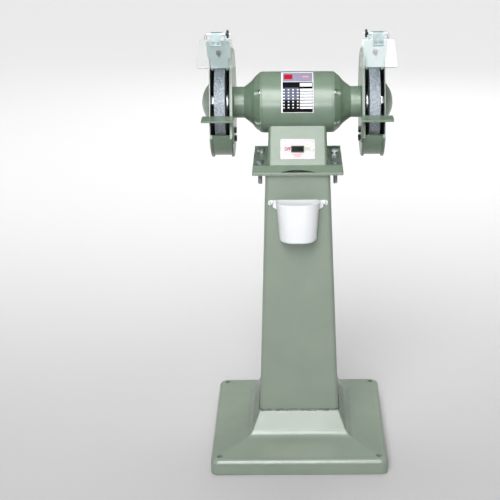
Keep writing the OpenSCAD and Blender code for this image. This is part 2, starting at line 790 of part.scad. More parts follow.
// Closed at the bearing, open towards the stator
module end_shield(side) color(PAINT) on_side(side) difference() {
    revolve(concat(
        [[shell_bore_r - 6, shell_end_x - spigot_l], [shell_bore_r - seat_gap, shell_end_x - spigot_l],
         [shell_bore_r - seat_gap, shell_end_x], [shell_r - 0.2, shell_end_x]],
        corner_arc([shell_r - 0.2, shell_end_x], [shell_r - 0.2, shell_end_x + 4],
            [neck_r + 2, neck_end_x - 25], 4),
        corner_arc([shell_r, shell_end_x + 10], [shell_r * 0.72, shell_end_x + 23],
            [neck_r + 1, neck_end_x - 24], 60),
        corner_arc([shell_r * 0.72, shell_end_x + 23], [neck_r, neck_end_x - 22.5],
            [neck_r, neck_end_x], 4),
        [[neck_r, neck_end_x], [neck_spigot_r, neck_end_x], [neck_spigot_r, neck_end_x + neck_spigot_l],
         [seal_bore_r, neck_end_x + neck_spigot_l], [seal_bore_r, bearing_x + bearing_w + 2],
         [bearing_d / 2 - 2, bearing_x + bearing_w + 2], [bearing_d / 2 - 2, bearing_x + bearing_w],
         [bearing_d / 2 + seat_gap, bearing_x + bearing_w], [bearing_d / 2 + seat_gap, bearing_x - 5],
         [neck_r - 5, bearing_x - 5], [neck_r - 3, bearing_x - 3], [shell_r * 0.62, shell_end_x + 19],
         [shell_bore_r - 6, shell_end_x + 3]]));
    for (back = [0, 1], a = [-1, 1])
        mirror([0, back, 0]) around(shield_screw_pcr, a * shield_screw_angle) {
            along_x(shell_end_x + pocket_seat_t) cylinder(r = pocket_r, h = 30);
            along_x(shell_end_x - cut) cylinder(d = shield_screw_d + 2 * bolt_gap, h = 12);
        }
    guard_bolt_places() along_x(neck_end_x - 12)
        cylinder(d = guard_bolt_d + 2 * seat_gap, h = 12 + cut);
}

module end_shield_screws() color(BRIGHT_STEEL) shield_screw_places()
    along_x(shell_end_x + pocket_seat_t) pan_screw(shield_screw_d, 22);

// ---- spindle ----

race_mid_r = (spindle_d + bearing_d) / 4;
race_gap = 0.15;

module bearing_ring(inner_r, outer_r) at_spindle() along_x(bearing_x) difference() {
    cylinder(r = outer_r, h = bearing_w);
    translate([0, 0, -cut]) cylinder(r = inner_r, h = bearing_w + 2 * cut);
    translate([0, 0, bearing_w / 2]) rotate_extrude()
        translate([race_mid_r, 0]) circle(ball_d / 2 + race_gap);
}

module bearing_outer(side) color(BRIGHT_STEEL) on_side(side)
    bearing_ring(race_mid_r + 2.6, bearing_d / 2);

module bearing_inner(side) color(BRIGHT_STEEL) on_side(side)
    bearing_ring(spindle_d / 2 + seat_gap, race_mid_r - 2.6);

module bearing_balls() color(BRIGHT_STEEL) both()
    for (i = [0:ball_count - 1]) around(race_mid_r, i * 360 / ball_count)
        translate([bearing_x + bearing_w / 2, 0, 0]) sphere(d = ball_d);

module spindle_shaft() color(BRIGHT_STEEL) at_spindle() {
    along_x(-bearing_x) cylinder(d = spindle_body_d, h = 2 * bearing_x);
    along_x(-spindle_end_x) cylinder(d = spindle_d, h = 2 * spindle_end_x);
}

module rotor_core() color([0.50, 0.50, 0.52]) at_spindle() difference() {
    union() {
        along_x(-stator_l / 2) cylinder(r = stator_bore_r - air_gap, h = stator_l);
        along_x(-stator_l / 2 - rotor_ring_l)
            cylinder(r = stator_bore_r - 3, h = stator_l + 2 * rotor_ring_l);
    }
    along_x(-stator_l) cylinder(d = spindle_body_d + 2 * seat_gap, h = 2 * stator_l);
}

flange_face_x = wheel_x - blotter_t;
outer_flange_x = wheel_x + wheel_w + blotter_t;

module inner_flange(side) color(DARK_STEEL) on_side(side) revolve([
    [spindle_d / 2 + seat_gap, bearing_x + bearing_w], [seal_bore_r - 0.7, bearing_x + bearing_w],
    [seal_bore_r - 0.7, flange_face_x - inner_flange_t + 2],
    [flange_d / 2 - 6, flange_face_x - inner_flange_t + 2],
    [flange_d / 2, flange_face_x - 3], [flange_d / 2, flange_face_x], [flange_d / 2 - 12, flange_face_x],
    [flange_d / 2 - 12, flange_face_x - 1], [wheel_bore / 2 - 0.1, flange_face_x - 1],
    [wheel_bore / 2 - 0.1, wheel_x + wheel_w - 3], [spindle_d / 2 + seat_gap, wheel_x + wheel_w - 3]
]);

module grinding_wheel(side) color([0.62, 0.64, 0.66]) on_side(side) at_spindle()
    along_x(wheel_x) difference() {
        cylinder(d = wheel_d, h = wheel_w);
        translate([0, 0, -cut]) cylinder(d = wheel_bore, h = wheel_w + 2 * cut);
    }

module wheel_blotters() color([0.30, 0.32, 0.45]) both() for (x = [flange_face_x, wheel_x + wheel_w])
    at_spindle() along_x(x) difference() {
        cylinder(d = flange_d + 4, h = blotter_t);
        translate([0, 0, -cut]) cylinder(d = wheel_bore + 0.4, h = blotter_t + 2 * cut);
    }

module outer_flange(side) color(DARK_STEEL) on_side(side) revolve([
    [spindle_d / 2 + seat_gap, outer_flange_x + 1], [flange_d / 2 - 12, outer_flange_x + 1],
    [flange_d / 2 - 12, outer_flange_x], [flange_d / 2, outer_flange_x], [flange_d / 2, outer_flange_x + 2],
    [flange_d / 2 - 5, outer_flange_x + outer_flange_t],
    [spindle_d / 2 + seat_gap, outer_flange_x + outer_flange_t]
]);

module spindle_nut(side) color(BRIGHT_STEEL) on_side(side) at_spindle()
    along_x(outer_flange_x + outer_flange_t) difference() {
        cylinder(r = nut_af / 2 / cos(30), h = nut_t, $fn = 6);
        translate([0, 0, -cut]) cylinder(r = spindle_d / 2 + seat_gap, h = nut_t + 2 * cut);
    }

// ---- guards ----

// Everything in front of the chord that opens the side walls
module opening_cut() at_spindle() rotate([-opening_mid, 0, 0])
    translate([guard_x - 20, -opening_d - guard_r, -guard_r]) cube([120, guard_r, 2 * guard_r]);

// Sweeps a section from the opening's lower end, round the back, to its upper end
module behind_opening() at_spindle() rotate([0, 90, 0]) rotate([0, 0, opening_bottom - 90])
    rotate_extrude(angle = 360 - 2 * opening_half) children();

module guard_bolt_places()
    for (i = [0:guard_bolt_count - 1]) around(guard_bolt_pcr, 90 + i * 360 / guard_bolt_count) children();

module guard_disc() difference() {
    union() {
        revolve(concat(
            [[neck_spigot_r + 0.1, neck_end_x], [neck_r + 1, neck_end_x]],
            corner_arc([neck_r + 1, neck_end_x], [neck_r + 1, guard_x], [guard_r, guard_x], 1.6),
            corner_arc([neck_r, guard_x], [guard_r, guard_x], [guard_r, guard_x + guard_wall], 4),
            [[guard_r, guard_x + guard_wall], [neck_spigot_r + 0.1, guard_x + guard_wall]]));
        behind_opening() translate([band_r - guard_rim_overlap, guard_end_x - guard_rim_t])
            square([guard_r - band_r + guard_rim_overlap, guard_rim_t]);
    }
    opening_cut();
}

module cover_screw_places() for (a = COVER_BOSS_ANGLES) around(cover_boss_pcr, a + 90) children();

module guard_casting(side) color(PAINT) on_side(side) difference() {
    union() {
        guard_disc();
        behind_opening() translate([band_in_r, guard_x + guard_wall / 2])
            square([band_t, guard_inside_w + guard_wall / 2]);
        cover_screw_places() along_x(guard_end_x - cover_boss_l)
            cylinder(r = cover_boss_r, h = cover_boss_l);
        on_opening_plane() translate([wheel_mid_x - lug_w / 2, band_in_r + cut, -lug_t])
            linear_extrude(lug_t) polygon([
                [0, 0], [lug_w, 0],
                [lug_w, lug_top_r - band_in_r - 8], [lug_w - 6, lug_top_r - band_in_r],
                [6, lug_top_r - band_in_r], [0, lug_top_r - band_in_r - 8]]);
    }
    cover_screw_places() along_x(guard_end_x - 12) cylinder(d = cover_screw_d + 2 * seat_gap, h = 12 + cut);
    guard_bolt_places() {
        along_x(neck_end_x - cut) cylinder(d = guard_bolt_d + 2 * bolt_gap, h = guard_wall + 4);
        along_x(guard_x + guard_wall - 3.4) cylinder(r1 = 3.2, r2 = 6.6, h = 3.4);
        along_x(guard_x + guard_wall - 0.01) cylinder(r = 6.6, h = cut);
    }
    rest_bolt_places() along_x(guard_x - cut)
        cylinder(d = rest_bolt_d + 2 * seat_gap, h = guard_wall + 2 * cut);
    on_opening_plane() translate([wheel_mid_x, lug_screw_r, -lug_t - cut])
        cylinder(d = lug_screw_d + 2 * seat_gap, h = lug_t + 2 * cut);
}

module guard_cover(side) color(PAINT) on_side(side) difference() {
    at_spindle() rotate([0, 90, 0]) rotate_extrude() cover_section();
    opening_cut();
    cover_screw_places() along_x(guard_end_x - cut)
        cylinder(d = cover_screw_d + bolt_gap, h = cover_t + 2 * cut);
}

// Half section of the cover: a flat sheet with a dome pressed out round the spindle nut
module cover_section() {
    ball_r = (pow(dome_r, 2) + pow(dome_h, 2)) / 2 / dome_h;
    ball_x = guard_end_x + cover_t + dome_h - ball_r;
    translate([dome_r - cover_t, guard_end_x]) square([guard_r - dome_r + cover_t, cover_t]);
    intersection() {
        difference() {
            translate([0, ball_x]) circle(ball_r);
            translate([0, ball_x]) circle(ball_r - cover_t);
        }
        translate([0, guard_end_x]) square([dome_r + cover_t, dome_h + 2 * cover_t]);
    }
}

module guard_bolts() color(BRIGHT_STEEL) both() guard_bolt_places() {
    along_x(guard_x + guard_wall - 3.1) cylinder(r1 = 3, r2 = 6, h = 3);
    along_x(neck_end_x - 10) cylinder(d = guard_bolt_d, h = guard_x + guard_wall - neck_end_x + 8);
}

module guard_cover_screws() color(BRIGHT_STEEL) both() cover_screw_places()
    along_x(guard_end_x + cover_t) pan_screw(cover_screw_d, 12);

// ---- tool rests ----

module rest_bolt_places() for (i = [0, 1])
    translate([0, rest_bolt_y, spindle_z - rest_bolt_drop - i * rest_bolt_dz]) children();

module rest_bolts() color(DARK_STEEL) both() rest_bolt_places()
    translate([rest_x - slide_gap, 0, 0]) rotate([0, -90, 0])
        hex_bolt(rest_bolt_d, arm_t + guard_wall + 1, small_bolt_af, small_bolt_head_h);

module tool_rest(side) color(PAINT) on_side(side) difference() {
    union() {
        translate([rest_x, rest_back_y - rest_d, rest_top_z - rest_t]) cube([rest_w, rest_d, rest_t]);
        translate([rest_x, 0, 0]) rotate([90, 0, 90]) linear_extrude(arm_t) polygon(rounded([
            [rest_back_y - rest_d, rest_top_z, 3], [rest_back_y, rest_top_z, 0],
            [rest_back_y + 6, rest_top_z - rest_t - 8, 6],
            [arm_back_y, spindle_z - rest_bolt_drop + 12, 6],
            [arm_back_y, spindle_z - rest_bolt_drop - rest_bolt_dz - 10, 6],
            [arm_front_y, spindle_z - rest_bolt_drop - rest_bolt_dz - 10, 6],
            [rest_back_y - rest_d + 6, rest_top_z - rest_t - 12, 12]
        ]));
    }
    rest_bolt_places() translate([rest_x - cut, 0, 0]) rest_slot();
}

// Slot that the rest slides along, towards the operator
module rest_slot() for (y = [-rest_inward, rest_travel]) {
    translate([0, y, 0]) along_x() cylinder(r = rest_bolt_d / 2 + slide_gap, h = arm_t + 2 * cut);
    translate([0, -rest_inward, -rest_bolt_d / 2 - slide_gap])
        cube([arm_t + 2 * cut, rest_inward + rest_travel, rest_bolt_d + 2 * slide_gap]);
}

// ---- spark deflectors and eye shields ----

module deflector_screws() color(BRIGHT_STEEL) both() on_opening_plane()
    translate([wheel_mid_x, lug_screw_r, deflector_t + 2 * slide_gap]) {
        washer(lug_washer_d, lug_screw_d + 2 * seat_gap, lug_washer_t);
        translate([0, 0, lug_washer_t])
            hex_bolt(lug_screw_d, lug_t + deflector_t + 1, lug_screw_af, lug_screw_head_h);
    }

module spark_deflector(side) color([0.72, 0.80, 0.76]) on_side(side) on_opening_plane()
    translate([0, 0, slide_gap]) difference() {
        union() {
            translate([wheel_mid_x, 0, 0]) linear_extrude(deflector_t) polygon(both_sides([
                [wheel_w / 2 + 2.5, deflector_foot_r],
                [wheel_w / 2 + 2.5, deflector_foot_r - deflector_wing_drop],
                [deflector_foot_w / 2 - 3, deflector_foot_r - deflector_wing_drop],
                [deflector_foot_w / 2, deflector_foot_r - deflector_wing_drop + 4],
                [deflector_foot_w / 2, deflector_shoulder_r],
                [deflector_top_w / 2 - 1, deflector_shoulder_r + 3],
                [deflector_top_w / 2, deflector_top_r - 3],
                [deflector_top_w / 2 - 3, deflector_top_r]
            ]));
            translate([tab_x, 0, 0]) rotate([90, 0, 90]) linear_extrude(tab_t) {
                translate([deflector_top_r - 10, 0])
                    square([rod_r - deflector_top_r + 10, tab_r + rod_offset]);
                translate([rod_r, rod_offset]) circle(tab_r);
            }
        }
        for (y = [-deflector_travel, deflector_inward])
            translate([wheel_mid_x, lug_screw_r + y, -cut])
                cylinder(r = lug_screw_d / 2 + slide_gap, h = deflector_t + 2 * cut);
        translate([wheel_mid_x - lug_screw_d / 2 - slide_gap, lug_screw_r - deflector_travel, -cut])
            cube([lug_screw_d + 2 * slide_gap, deflector_travel + deflector_inward, deflector_t + 2 * cut]);
        translate([tab_x - cut, rod_r, rod_offset - slide_gap]) along_x()
            cylinder(r = rod_d / 2 + run_gap, h = tab_t + 2 * cut);
    }

// Straight rod with a collar beside the tab and a short bent leg at its outer end
module shield_rod(side) color(DARK_STEEL) on_side(side) on_pane() {
    along_x(rod_inner_x) cylinder(d = rod_d, h = rod_outer_x - rod_bend_r - rod_inner_x);
    along_x(tab_x + tab_t + slide_gap) cylinder(d = rod_d + 4, h = 2.5);
    translate([rod_outer_x - rod_bend_r, rod_bend_r, 0]) rotate([0, 0, -90])
        rotate_extrude(angle = 90) translate([rod_bend_r, 0]) circle(d = rod_d);
    translate([rod_outer_x, rod_bend_r, 0]) rotate([-90, 0, 0]) cylinder(d = rod_d, h = rod_leg_l);
}

// Strap folded round the rod, with a tongue on the pane's front
module shield_clip(side) color(BRIGHT_STEEL) on_side(side) on_pane()
    translate([pane_mid_x - clip_w / 2, 0, 0]) difference() {
        union() {
            along_x() cylinder(r = rod_d / 2 + clip_t, h = clip_w);
            translate([0, 0, pane_t / 2]) cube([clip_w, clip_reach, clip_t]);
        }
        along_x(-cut) cylinder(r = rod_d / 2 + seat_gap, h = clip_w + 2 * cut);
        for (x = [-1, 1]) translate([clip_w / 2 + x * shield_screw_dx / 2, shield_screw_reach, 0])
            cylinder(d = pane_screw_d + bolt_gap, h = pane_t + clip_t);
    }

module shield_screws(side) color(BRIGHT_STEEL) on_side(side) on_pane() for (x = [-1, 1])
    translate([pane_mid_x + x * shield_screw_dx / 2, shield_screw_reach, pane_t / 2 + clip_t]) {
        pan_screw(pane_screw_d, pane_t + clip_t + 5);
        translate([0, 0, -pane_t - clip_t - 3.2]) difference() {
            cylinder(r = 4, h = 3.2, $fn = 6);
            translate([0, 0, -cut]) cylinder(r = pane_screw_d / 2 + seat_gap, h = 3.2 + 2 * cut);
        }
    }

module eye_shield(side) color([0.85, 0.90, 0.90, 0.4]) on_side(side) on_pane()
    translate([pane_mid_x, pane_start, -pane_t / 2]) difference() {
        linear_extrude(pane_t) polygon(rounded([
            [-pane_top_w / 2, 0, pane_corner_r], [pane_top_w / 2, 0, pane_corner_r],
            [pane_w / 2, pane_h, pane_corner_r], [-pane_w / 2, pane_h, pane_corner_r]]));
        for (x = [-1, 1]) translate([x * shield_screw_dx / 2, shield_screw_reach - pane_start, -cut])
            cylinder(d = pane_screw_d + bolt_gap, h = pane_t + 2 * cut);
    }

module wing_nut(side) color(DARK_STEEL) on_side(side) translate([0, rod_y, rod_z])
    along_x(tab_x - slide_gap - wing_nut_w) difference() {
        union() {
            cylinder(r = wing_hub_r, h = wing_nut_w);
            translate([-wing_r, -wing_t / 2, 0]) cube([2 * wing_r, wing_t, wing_nut_w - 2]);
        }
        translate([0, 0, -cut]) cylinder(r = rod_d / 2 + run_gap, h = wing_nut_w + 2 * cut);
    }

// ---- nodes ----

base_pan();
column();
top_plate();
bucket_screws();
water_bucket();
motor_foot();
foot_bolts();
foot_washers();
saddle_bolts();
cable_gland();
run_capacitor();
switch_plate();
switch_plate_screws();
switch_body();
switch_rocker();
motor_shell();
rating_plate();
stator_core();
stator_windings();
end_shield("left");  // end_shield_left
end_shield("right");  // end_shield_right
end_shield_screws();
bearing_outer("left");  // bearing_outer_left
bearing_outer("right");  // bearing_outer_right
bearing_inner("left");  // bearing_inner_left
bearing_inner("right");  // bearing_inner_right
bearing_balls();
spindle_shaft();
rotor_core();
inner_flange("left");  // inner_flange_left
inner_flange("right");  // inner_flange_right
wheel_blotters();
grinding_wheel("left");  // grinding_wheel_left
grinding_wheel("right");  // grinding_wheel_right
outer_flange("left");  // outer_flange_left
outer_flange("right");  // outer_flange_right
spindle_nut("left");  // spindle_nut_left
spindle_nut("right");  // spindle_nut_right
guard_casting("left");  // guard_casting_left
guard_casting("right");  // guard_casting_right
guard_cover("left");  // guard_cover_left
guard_cover("right");  // guard_cover_right
guard_bolts();
guard_cover_screws();
rest_bolts();
deflector_screws();
tool_rest("left");  // tool_rest_left
tool_rest("right");  // tool_rest_right
spark_deflector("left");  // spark_deflector_left
spark_deflector("right");  // spark_deflector_right
shield_rod("left");  // shield_rod_left
shield_rod("right");  // shield_rod_right
shield_clip("left");  // shield_clip_left
shield_clip("right");  // shield_clip_right
shield_screws("left");  // shield_screws_left
shield_screws("right");  // shield_screws_right
eye_shield("left");  // eye_shield_left
eye_shield("right");  // eye_shield_right
wing_nut("left");  // wing_nut_left
wing_nut("right");  // wing_nut_right
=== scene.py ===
"""Pedestal grinder: the shape and finish of each visible piece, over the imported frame.

Lengths are millimetres in the frame's axes, X along the spindle to the operator's right,
-Y towards the operator and Z up from the floor. Angles are degrees.
"""

from __future__ import annotations

import logging
import sys
from contextlib import contextmanager
from dataclasses import dataclass
from enum import Enum
from math import acos, asin, atan, atan2, cos, degrees, hypot, pi, radians, sin, tan
from typing import Callable, Iterator, Mapping, Sequence, Union

import bmesh
import bpy
from mathutils import Matrix, Vector


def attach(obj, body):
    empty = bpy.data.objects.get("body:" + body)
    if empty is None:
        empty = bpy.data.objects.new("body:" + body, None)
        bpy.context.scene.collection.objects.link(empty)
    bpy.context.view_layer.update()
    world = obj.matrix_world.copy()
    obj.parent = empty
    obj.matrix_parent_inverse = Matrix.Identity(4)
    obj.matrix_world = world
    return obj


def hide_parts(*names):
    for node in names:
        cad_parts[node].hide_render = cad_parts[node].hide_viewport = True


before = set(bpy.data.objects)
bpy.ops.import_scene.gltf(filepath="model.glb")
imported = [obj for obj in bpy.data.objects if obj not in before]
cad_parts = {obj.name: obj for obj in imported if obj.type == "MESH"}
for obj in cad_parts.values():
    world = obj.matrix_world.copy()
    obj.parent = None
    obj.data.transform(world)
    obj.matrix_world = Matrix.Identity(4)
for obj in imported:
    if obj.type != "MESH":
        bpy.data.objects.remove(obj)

Object = bpy.types.Object
Material = bpy.types.Material
Socket = bpy.types.NodeSocket
Point = tuple[float, float]
Value = Union[float, tuple, Socket]

MM = 0.001
# An edge or face lies along an axis when its direction has at least this much of it
NEARLY = 0.9
# Points closer than this are one point
ONE_POINT = 0.002
# Inputs and output of the Mix node when it mixes colours
MIX_FACTOR, MIX_LOW, MIX_HIGH, MIXED = 0, 6, 7, 2
# A noise pattern's values lie mostly between these
NOISE_LOW, NOISE_HIGH = 0.3, 0.7
# From a right-hand piece to its left-hand twin
TO_LEFT = Matrix.Scale(-1, 4, (1, 0, 0))
log = logging.getLogger("grinder")


# ---- bench tools: how a piece is started, shaped and finished ----


class Part(Enum):
    """What an edit picks."""

    POINTS = "VERT"
    EDGES = "EDGE"
    FACES = "FACE"


class Join(Enum):
    """How one solid is combined with another."""

    ADD = "UNION"
    CUT = "DIFFERENCE"
    KEEP = "INTERSECT"


def metres(x: float, y: float, z: float) -> Vector:
    """The point or length in metres."""
    return Vector((x, y, z)) * MM


def focus(obj: Object) -> None:
    """Leaves edit mode and makes obj the only selected object.

    Args:
        obj: The object to work on.
    """
    if bpy.context.mode != "OBJECT":
        bpy.ops.object.mode_set(mode="OBJECT")
    bpy.ops.object.select_all(action="DESELECT")
    obj.select_set(True)
    bpy.context.view_layer.objects.active = obj


def settle(obj: Object) -> Object:
    """Puts obj's place, turn and size into its mesh, and its origin at the frame's.

    Args:
        obj: The object, moved or scaled as a whole.

    Returns:
        The same object.
    """
    focus(obj)
    bpy.ops.object.transform_apply(location=True, rotation=True, scale=True)
    return obj


def start(kind: str, name: str, **settings: object) -> Object:
    """Adds one primitive, with nothing else selected.

    Args:
        kind: The primitive's name in bpy.ops.mesh.
        name: The piece's name.
        settings: The operator's own settings, in metres.

    Returns:
        The new object, with its place in its mesh.
    """
    if bpy.context.mode != "OBJECT":
        bpy.ops.object.mode_set(mode="OBJECT")
    bpy.ops.object.select_all(action="DESELECT")
    getattr(bpy.ops.mesh, f"primitive_{kind}_add")(**settings)
    obj = bpy.context.active_object
    obj.name = name
    obj.data.name = name
    return settle(obj)


@contextmanager
def editing(obj: Object, part: Part) -> Iterator[None]:
    """Opens obj in edit mode with nothing selected, and closes it again.

    Args:
        obj: The object to edit.
        part: What the edit picks.

    Returns:
        Nothing: the edit is done inside the with block.
    """
    focus(obj)
    bpy.ops.object.mode_set(mode="EDIT")
    bpy.ops.mesh.select_mode(type=part.value)
    bpy.ops.mesh.select_all(action="DESELECT")
    yield
    bpy.ops.object.mode_set(mode="OBJECT")


def pick(obj: Object, part: Part, test: Callable[[object], bool]) -> int:
    """Selects the points, edges or faces that pass the test.

    Args:
        obj: The object in edit mode.
        part: What is picked.
        test: Says yes or no to one point, edge or face.

    Returns:
        How many were picked.
    """
    bpy.ops.mesh.select_all(action="DESELECT")
    mesh = bmesh.from_edit_mesh(obj.data)
    every = {Part.POINTS: mesh.verts, Part.EDGES: mesh.edges, Part.FACES: mesh.faces}[part]
    chosen = [item for item in every if test(item)]
    for item in chosen:
        item.select_set(True)
    mesh.select_flush_mode()
    bmesh.update_edit_mesh(obj.data)
    return len(chosen)


def middle(item: object) -> Vector:
    """The middle of an edge or a face, in millimetres.

    Args:
        item: The edge or face.

    Returns:
        Its middle.
    """
    if hasattr(item, "calc_center_median"):
        return item.calc_center_median() / MM
    return (item.verts[0].co + item.verts[1].co) / 2 / MM


def along(edge: object) -> Vector:
    """The direction of an edge."""
    return (edge.verts[1].co - edge.verts[0].co).normalized()


def outward(obj: Object) -> Object:
    """Closes doubled points and turns every face outwards.

    Args:
        obj: The piece.

    Returns:
        The same piece.
    """
    with editing(obj, Part.POINTS):
        bpy.ops.mesh.select_all(action="SELECT")
        bpy.ops.mesh.remove_doubles(threshold=ONE_POINT * MM)
        bpy.ops.mesh.normals_make_consistent(inside=False)
    return obj


def place(obj: Object, matrix: Matrix) -> Object:
    """Moves obj's mesh by matrix, and keeps its faces outwards where that mirrors it.

    Args:
        obj: The piece.
        matrix: The move.

    Returns:
        The same piece.
    """
    obj.matrix_world = matrix @ obj.matrix_world
    settle(obj)
    return outward(obj) if matrix.determinant() < 0 else obj


def block(name: str, size: Sequence[float], centre: Sequence[float]) -> Object:
    """A six-sided block of that size about that centre."""
    return start("cube", name, size=MM, location=metres(*centre), scale=tuple(size))


def bar(
    name: str, radius: float, length: float, centre: Sequence[float], sides: int = 48,
) -> Object:
    """A round or many-sided bar along Z.

    Args:
        name: The bar's name.
        radius: Its radius, to the corners.
        length: Its length.
        centre: Its middle.
        sides: How many sides it has.

    Returns:
        The bar.
    """
    return start(
        "cylinder", name, vertices=sides, radius=radius * MM, depth=length * MM,
        location=metres(*centre),
    )


def trace(name: str, points: Sequence[Sequence[float]], filled: bool) -> Object:
    """Draws a closed outline by extruding one point round it.

    Args:
        name: The piece's name.
        points: The outline's corners.
        filled: Whether it gets a face.

    Returns:
        The outline.
    """
    obj = start("plane", name, size=MM, location=metres(*points[0]))
    with editing(obj, Part.POINTS):
        bpy.ops.mesh.select_all(action="SELECT")
        bpy.ops.mesh.merge(type="CENTER")
        for here, there in zip(points, points[1:]):
            step = metres(*there) - metres(*here)
            bpy.ops.mesh.extrude_vertices_move(TRANSFORM_OT_translate={"value": step})
        if filled:
            bpy.ops.mesh.select_all(action="SELECT")
        else:
            ends = (metres(*points[0]), metres(*points[-1]))
            pick(obj, Part.POINTS, lambda v: min((v.co - e).length for e in ends) < 0.001 * MM)
        bpy.ops.mesh.edge_face_add()
    return obj


def turned(name: str, profile: Sequence[Point], sweep: float = 360, steps: int = 96) -> Object:
    """Spins a closed [radius, height] profile about Z, from the X axis.

    Args:
        name: The piece's name.
        profile: The profile's corners.
        sweep: The angle it is spun through.
        steps: Facets over that angle.

    Returns:
        The closed solid.
    """
    obj = trace(name, [(r, 0, z) for r, z in profile], filled=False)
    with editing(obj, Part.POINTS):
        bpy.ops.mesh.select_all(action="SELECT")
        # with no window, spin turns clockwise
        bpy.ops.mesh.spin(steps=steps, angle=-radians(sweep), center=(0, 0, 0), axis=(0, 0, 1))
        bpy.ops.mesh.select_all(action="SELECT")
        bpy.ops.mesh.remove_doubles(threshold=ONE_POINT * MM)
        if sweep < 360:
            bpy.ops.mesh.select_all(action="DESELECT")
            bpy.ops.mesh.select_non_manifold(extend=False)
            bpy.ops.mesh.fill_holes(sides=0)
    return outward(obj)


def prism(name: str, outline: Sequence[Point], depth: float, foot: float = 0) -> Object:
    """Extrudes a closed outline in XY along Z, from foot by depth.

    Args:
        name: The piece's name.
        outline: Its corners in order.
        depth: How far it is extruded.
        foot: The height it starts at.

    Returns:
        The closed solid.
    """
    obj = trace(name, [(x, y, foot) for x, y in outline], filled=True)
    with editing(obj, Part.FACES):
        bpy.ops.mesh.select_all(action="SELECT")
        bpy.ops.mesh.extrude_region_move(TRANSFORM_OT_translate={"value": metres(0, 0, depth)})
    return outward(obj)


def apply(obj: Object, kind: str, **settings: object) -> Object:
    """Adds one modifier with its settings, and applies it.

    Args:
        obj: The piece.
        kind: The modifier's type.
        settings: The modifier's own properties.

    Returns:
        The same piece.
    """
    modifier = obj.modifiers.new(kind.lower(), kind)
    for name, value in settings.items():
        setattr(modifier, name, value)
    focus(obj)
    bpy.ops.object.modifier_apply(modifier=modifier.name)
    return obj


def combine(how: Join, obj: Object, *tools: Object) -> Object:
    """Adds, cuts or keeps obj with each tool, and clears the tools away.

    Args:
        how: How they are combined.
        obj: The piece that stays.
        tools: The solids that are used up on it.

    Returns:
        The piece that stays.
    """
    for tool in tools:
        apply(obj, "BOOLEAN", operation=how.value, solver="EXACT", object=tool)
        bpy.data.objects.remove(tool, do_unlink=True)
    return obj


def gather(name: str, pieces: Sequence[Object]) -> Object:
    """Joins loose pieces into one object.

    Args:
        name: The joined object's name.
        pieces: The pieces, of which the first takes in the others.

    Returns:
        The joined object.
    """
    focus(pieces[0])
    for piece in pieces:
        piece.select_set(True)
    bpy.ops.object.join()
    pieces[0].name = pieces[0].data.name = name
    return pieces[0]


def copy_to(obj: Object, matrix: Matrix, name: str) -> Object:
    """A copy of obj with its own mesh, moved by matrix.

    Args:
        obj: The piece that is copied.
        matrix: The copy's move.
        name: The copy's name.

    Returns:
        The copy.
    """
    twin = obj.copy()
    twin.data = obj.data.copy()
    twin.name = twin.data.name = name
    bpy.context.scene.collection.objects.link(twin)
    return place(twin, matrix)


def repeat(name: str, obj: Object, places: Sequence[Matrix]) -> Object:
    """One object of copies of obj at every place. The first obj is used up.

    Args:
        name: The new object's name.
        obj: The piece that is copied.
        places: Where the copies go.

    Returns:
        The object of all the copies.
    """
    copies = [copy_to(obj, matrix, name) for matrix in places]
    bpy.data.objects.remove(obj, do_unlink=True)
    return gather(name, copies)


def round_edges(
    obj: Object, test: Callable[[object], bool], radius: float, steps: int = 6,
) -> Object:
    """Rounds the edges that pass the test.

    Args:
        obj: The piece.
        test: Says yes or no to one edge.
        radius: The radius of the rounding.
        steps: The rounding's facets.

    Returns:
        The same piece.
    """
    with editing(obj, Part.EDGES):
        if pick(obj, Part.EDGES, test):
            bpy.ops.mesh.bevel(
                offset=radius * MM, segments=steps, profile=0.5, affect="EDGES", clamp_overlap=True,
            )
    return obj


def upright(edge: object) -> bool:
    """Whether an edge stands within about 25 degrees of Z."""
    return abs(along(edge).z) > NEARLY


def fore_and_aft(edge: object) -> bool:
    """Whether an edge runs within about 25 degrees of Y."""
    return abs(along(edge).y) > NEARLY


def ease(obj: Object, radius: float, steps: int = 2, angle: float = 32) -> Object:
    """Takes the sharpness off every edge that turns by more than angle.

    Args:
        obj: The piece.
        radius: The width of the rounding.
        steps: The rounding's facets.
        angle: Edges that turn by less are left alone.

    Returns:
        The same piece.
    """
    return apply(
        obj, "BEVEL", width=radius * MM, segments=steps, limit_method="ANGLE",
        angle_limit=radians(angle), use_clamp_overlap=True, miter_outer="MITER_ARC",
    )


def smooth(obj: Object, angle: float = 38) -> Object:
    """Shades curves smooth, keeps flat faces flat and corners crisp.

    Args:
        obj: The piece.
        angle: Edges that turn by more stay crisp.

    Returns:
        The same piece.
    """
    focus(obj)
    bpy.ops.object.shade_smooth_by_angle(angle=radians(angle))
    return apply(obj, "WEIGHTED_NORMAL", keep_sharp=True, weight=60)


def mirrored(obj: Object, name: str) -> Object:
    """The left-hand twin of a right-hand piece."""
    return copy_to(obj, TO_LEFT, name)


def both_sides(places: Sequence[Matrix]) -> list[Matrix]:
    """The right-hand places, then their left-hand twins."""
    return [*places, *(TO_LEFT @ place_on for place_on in places)]


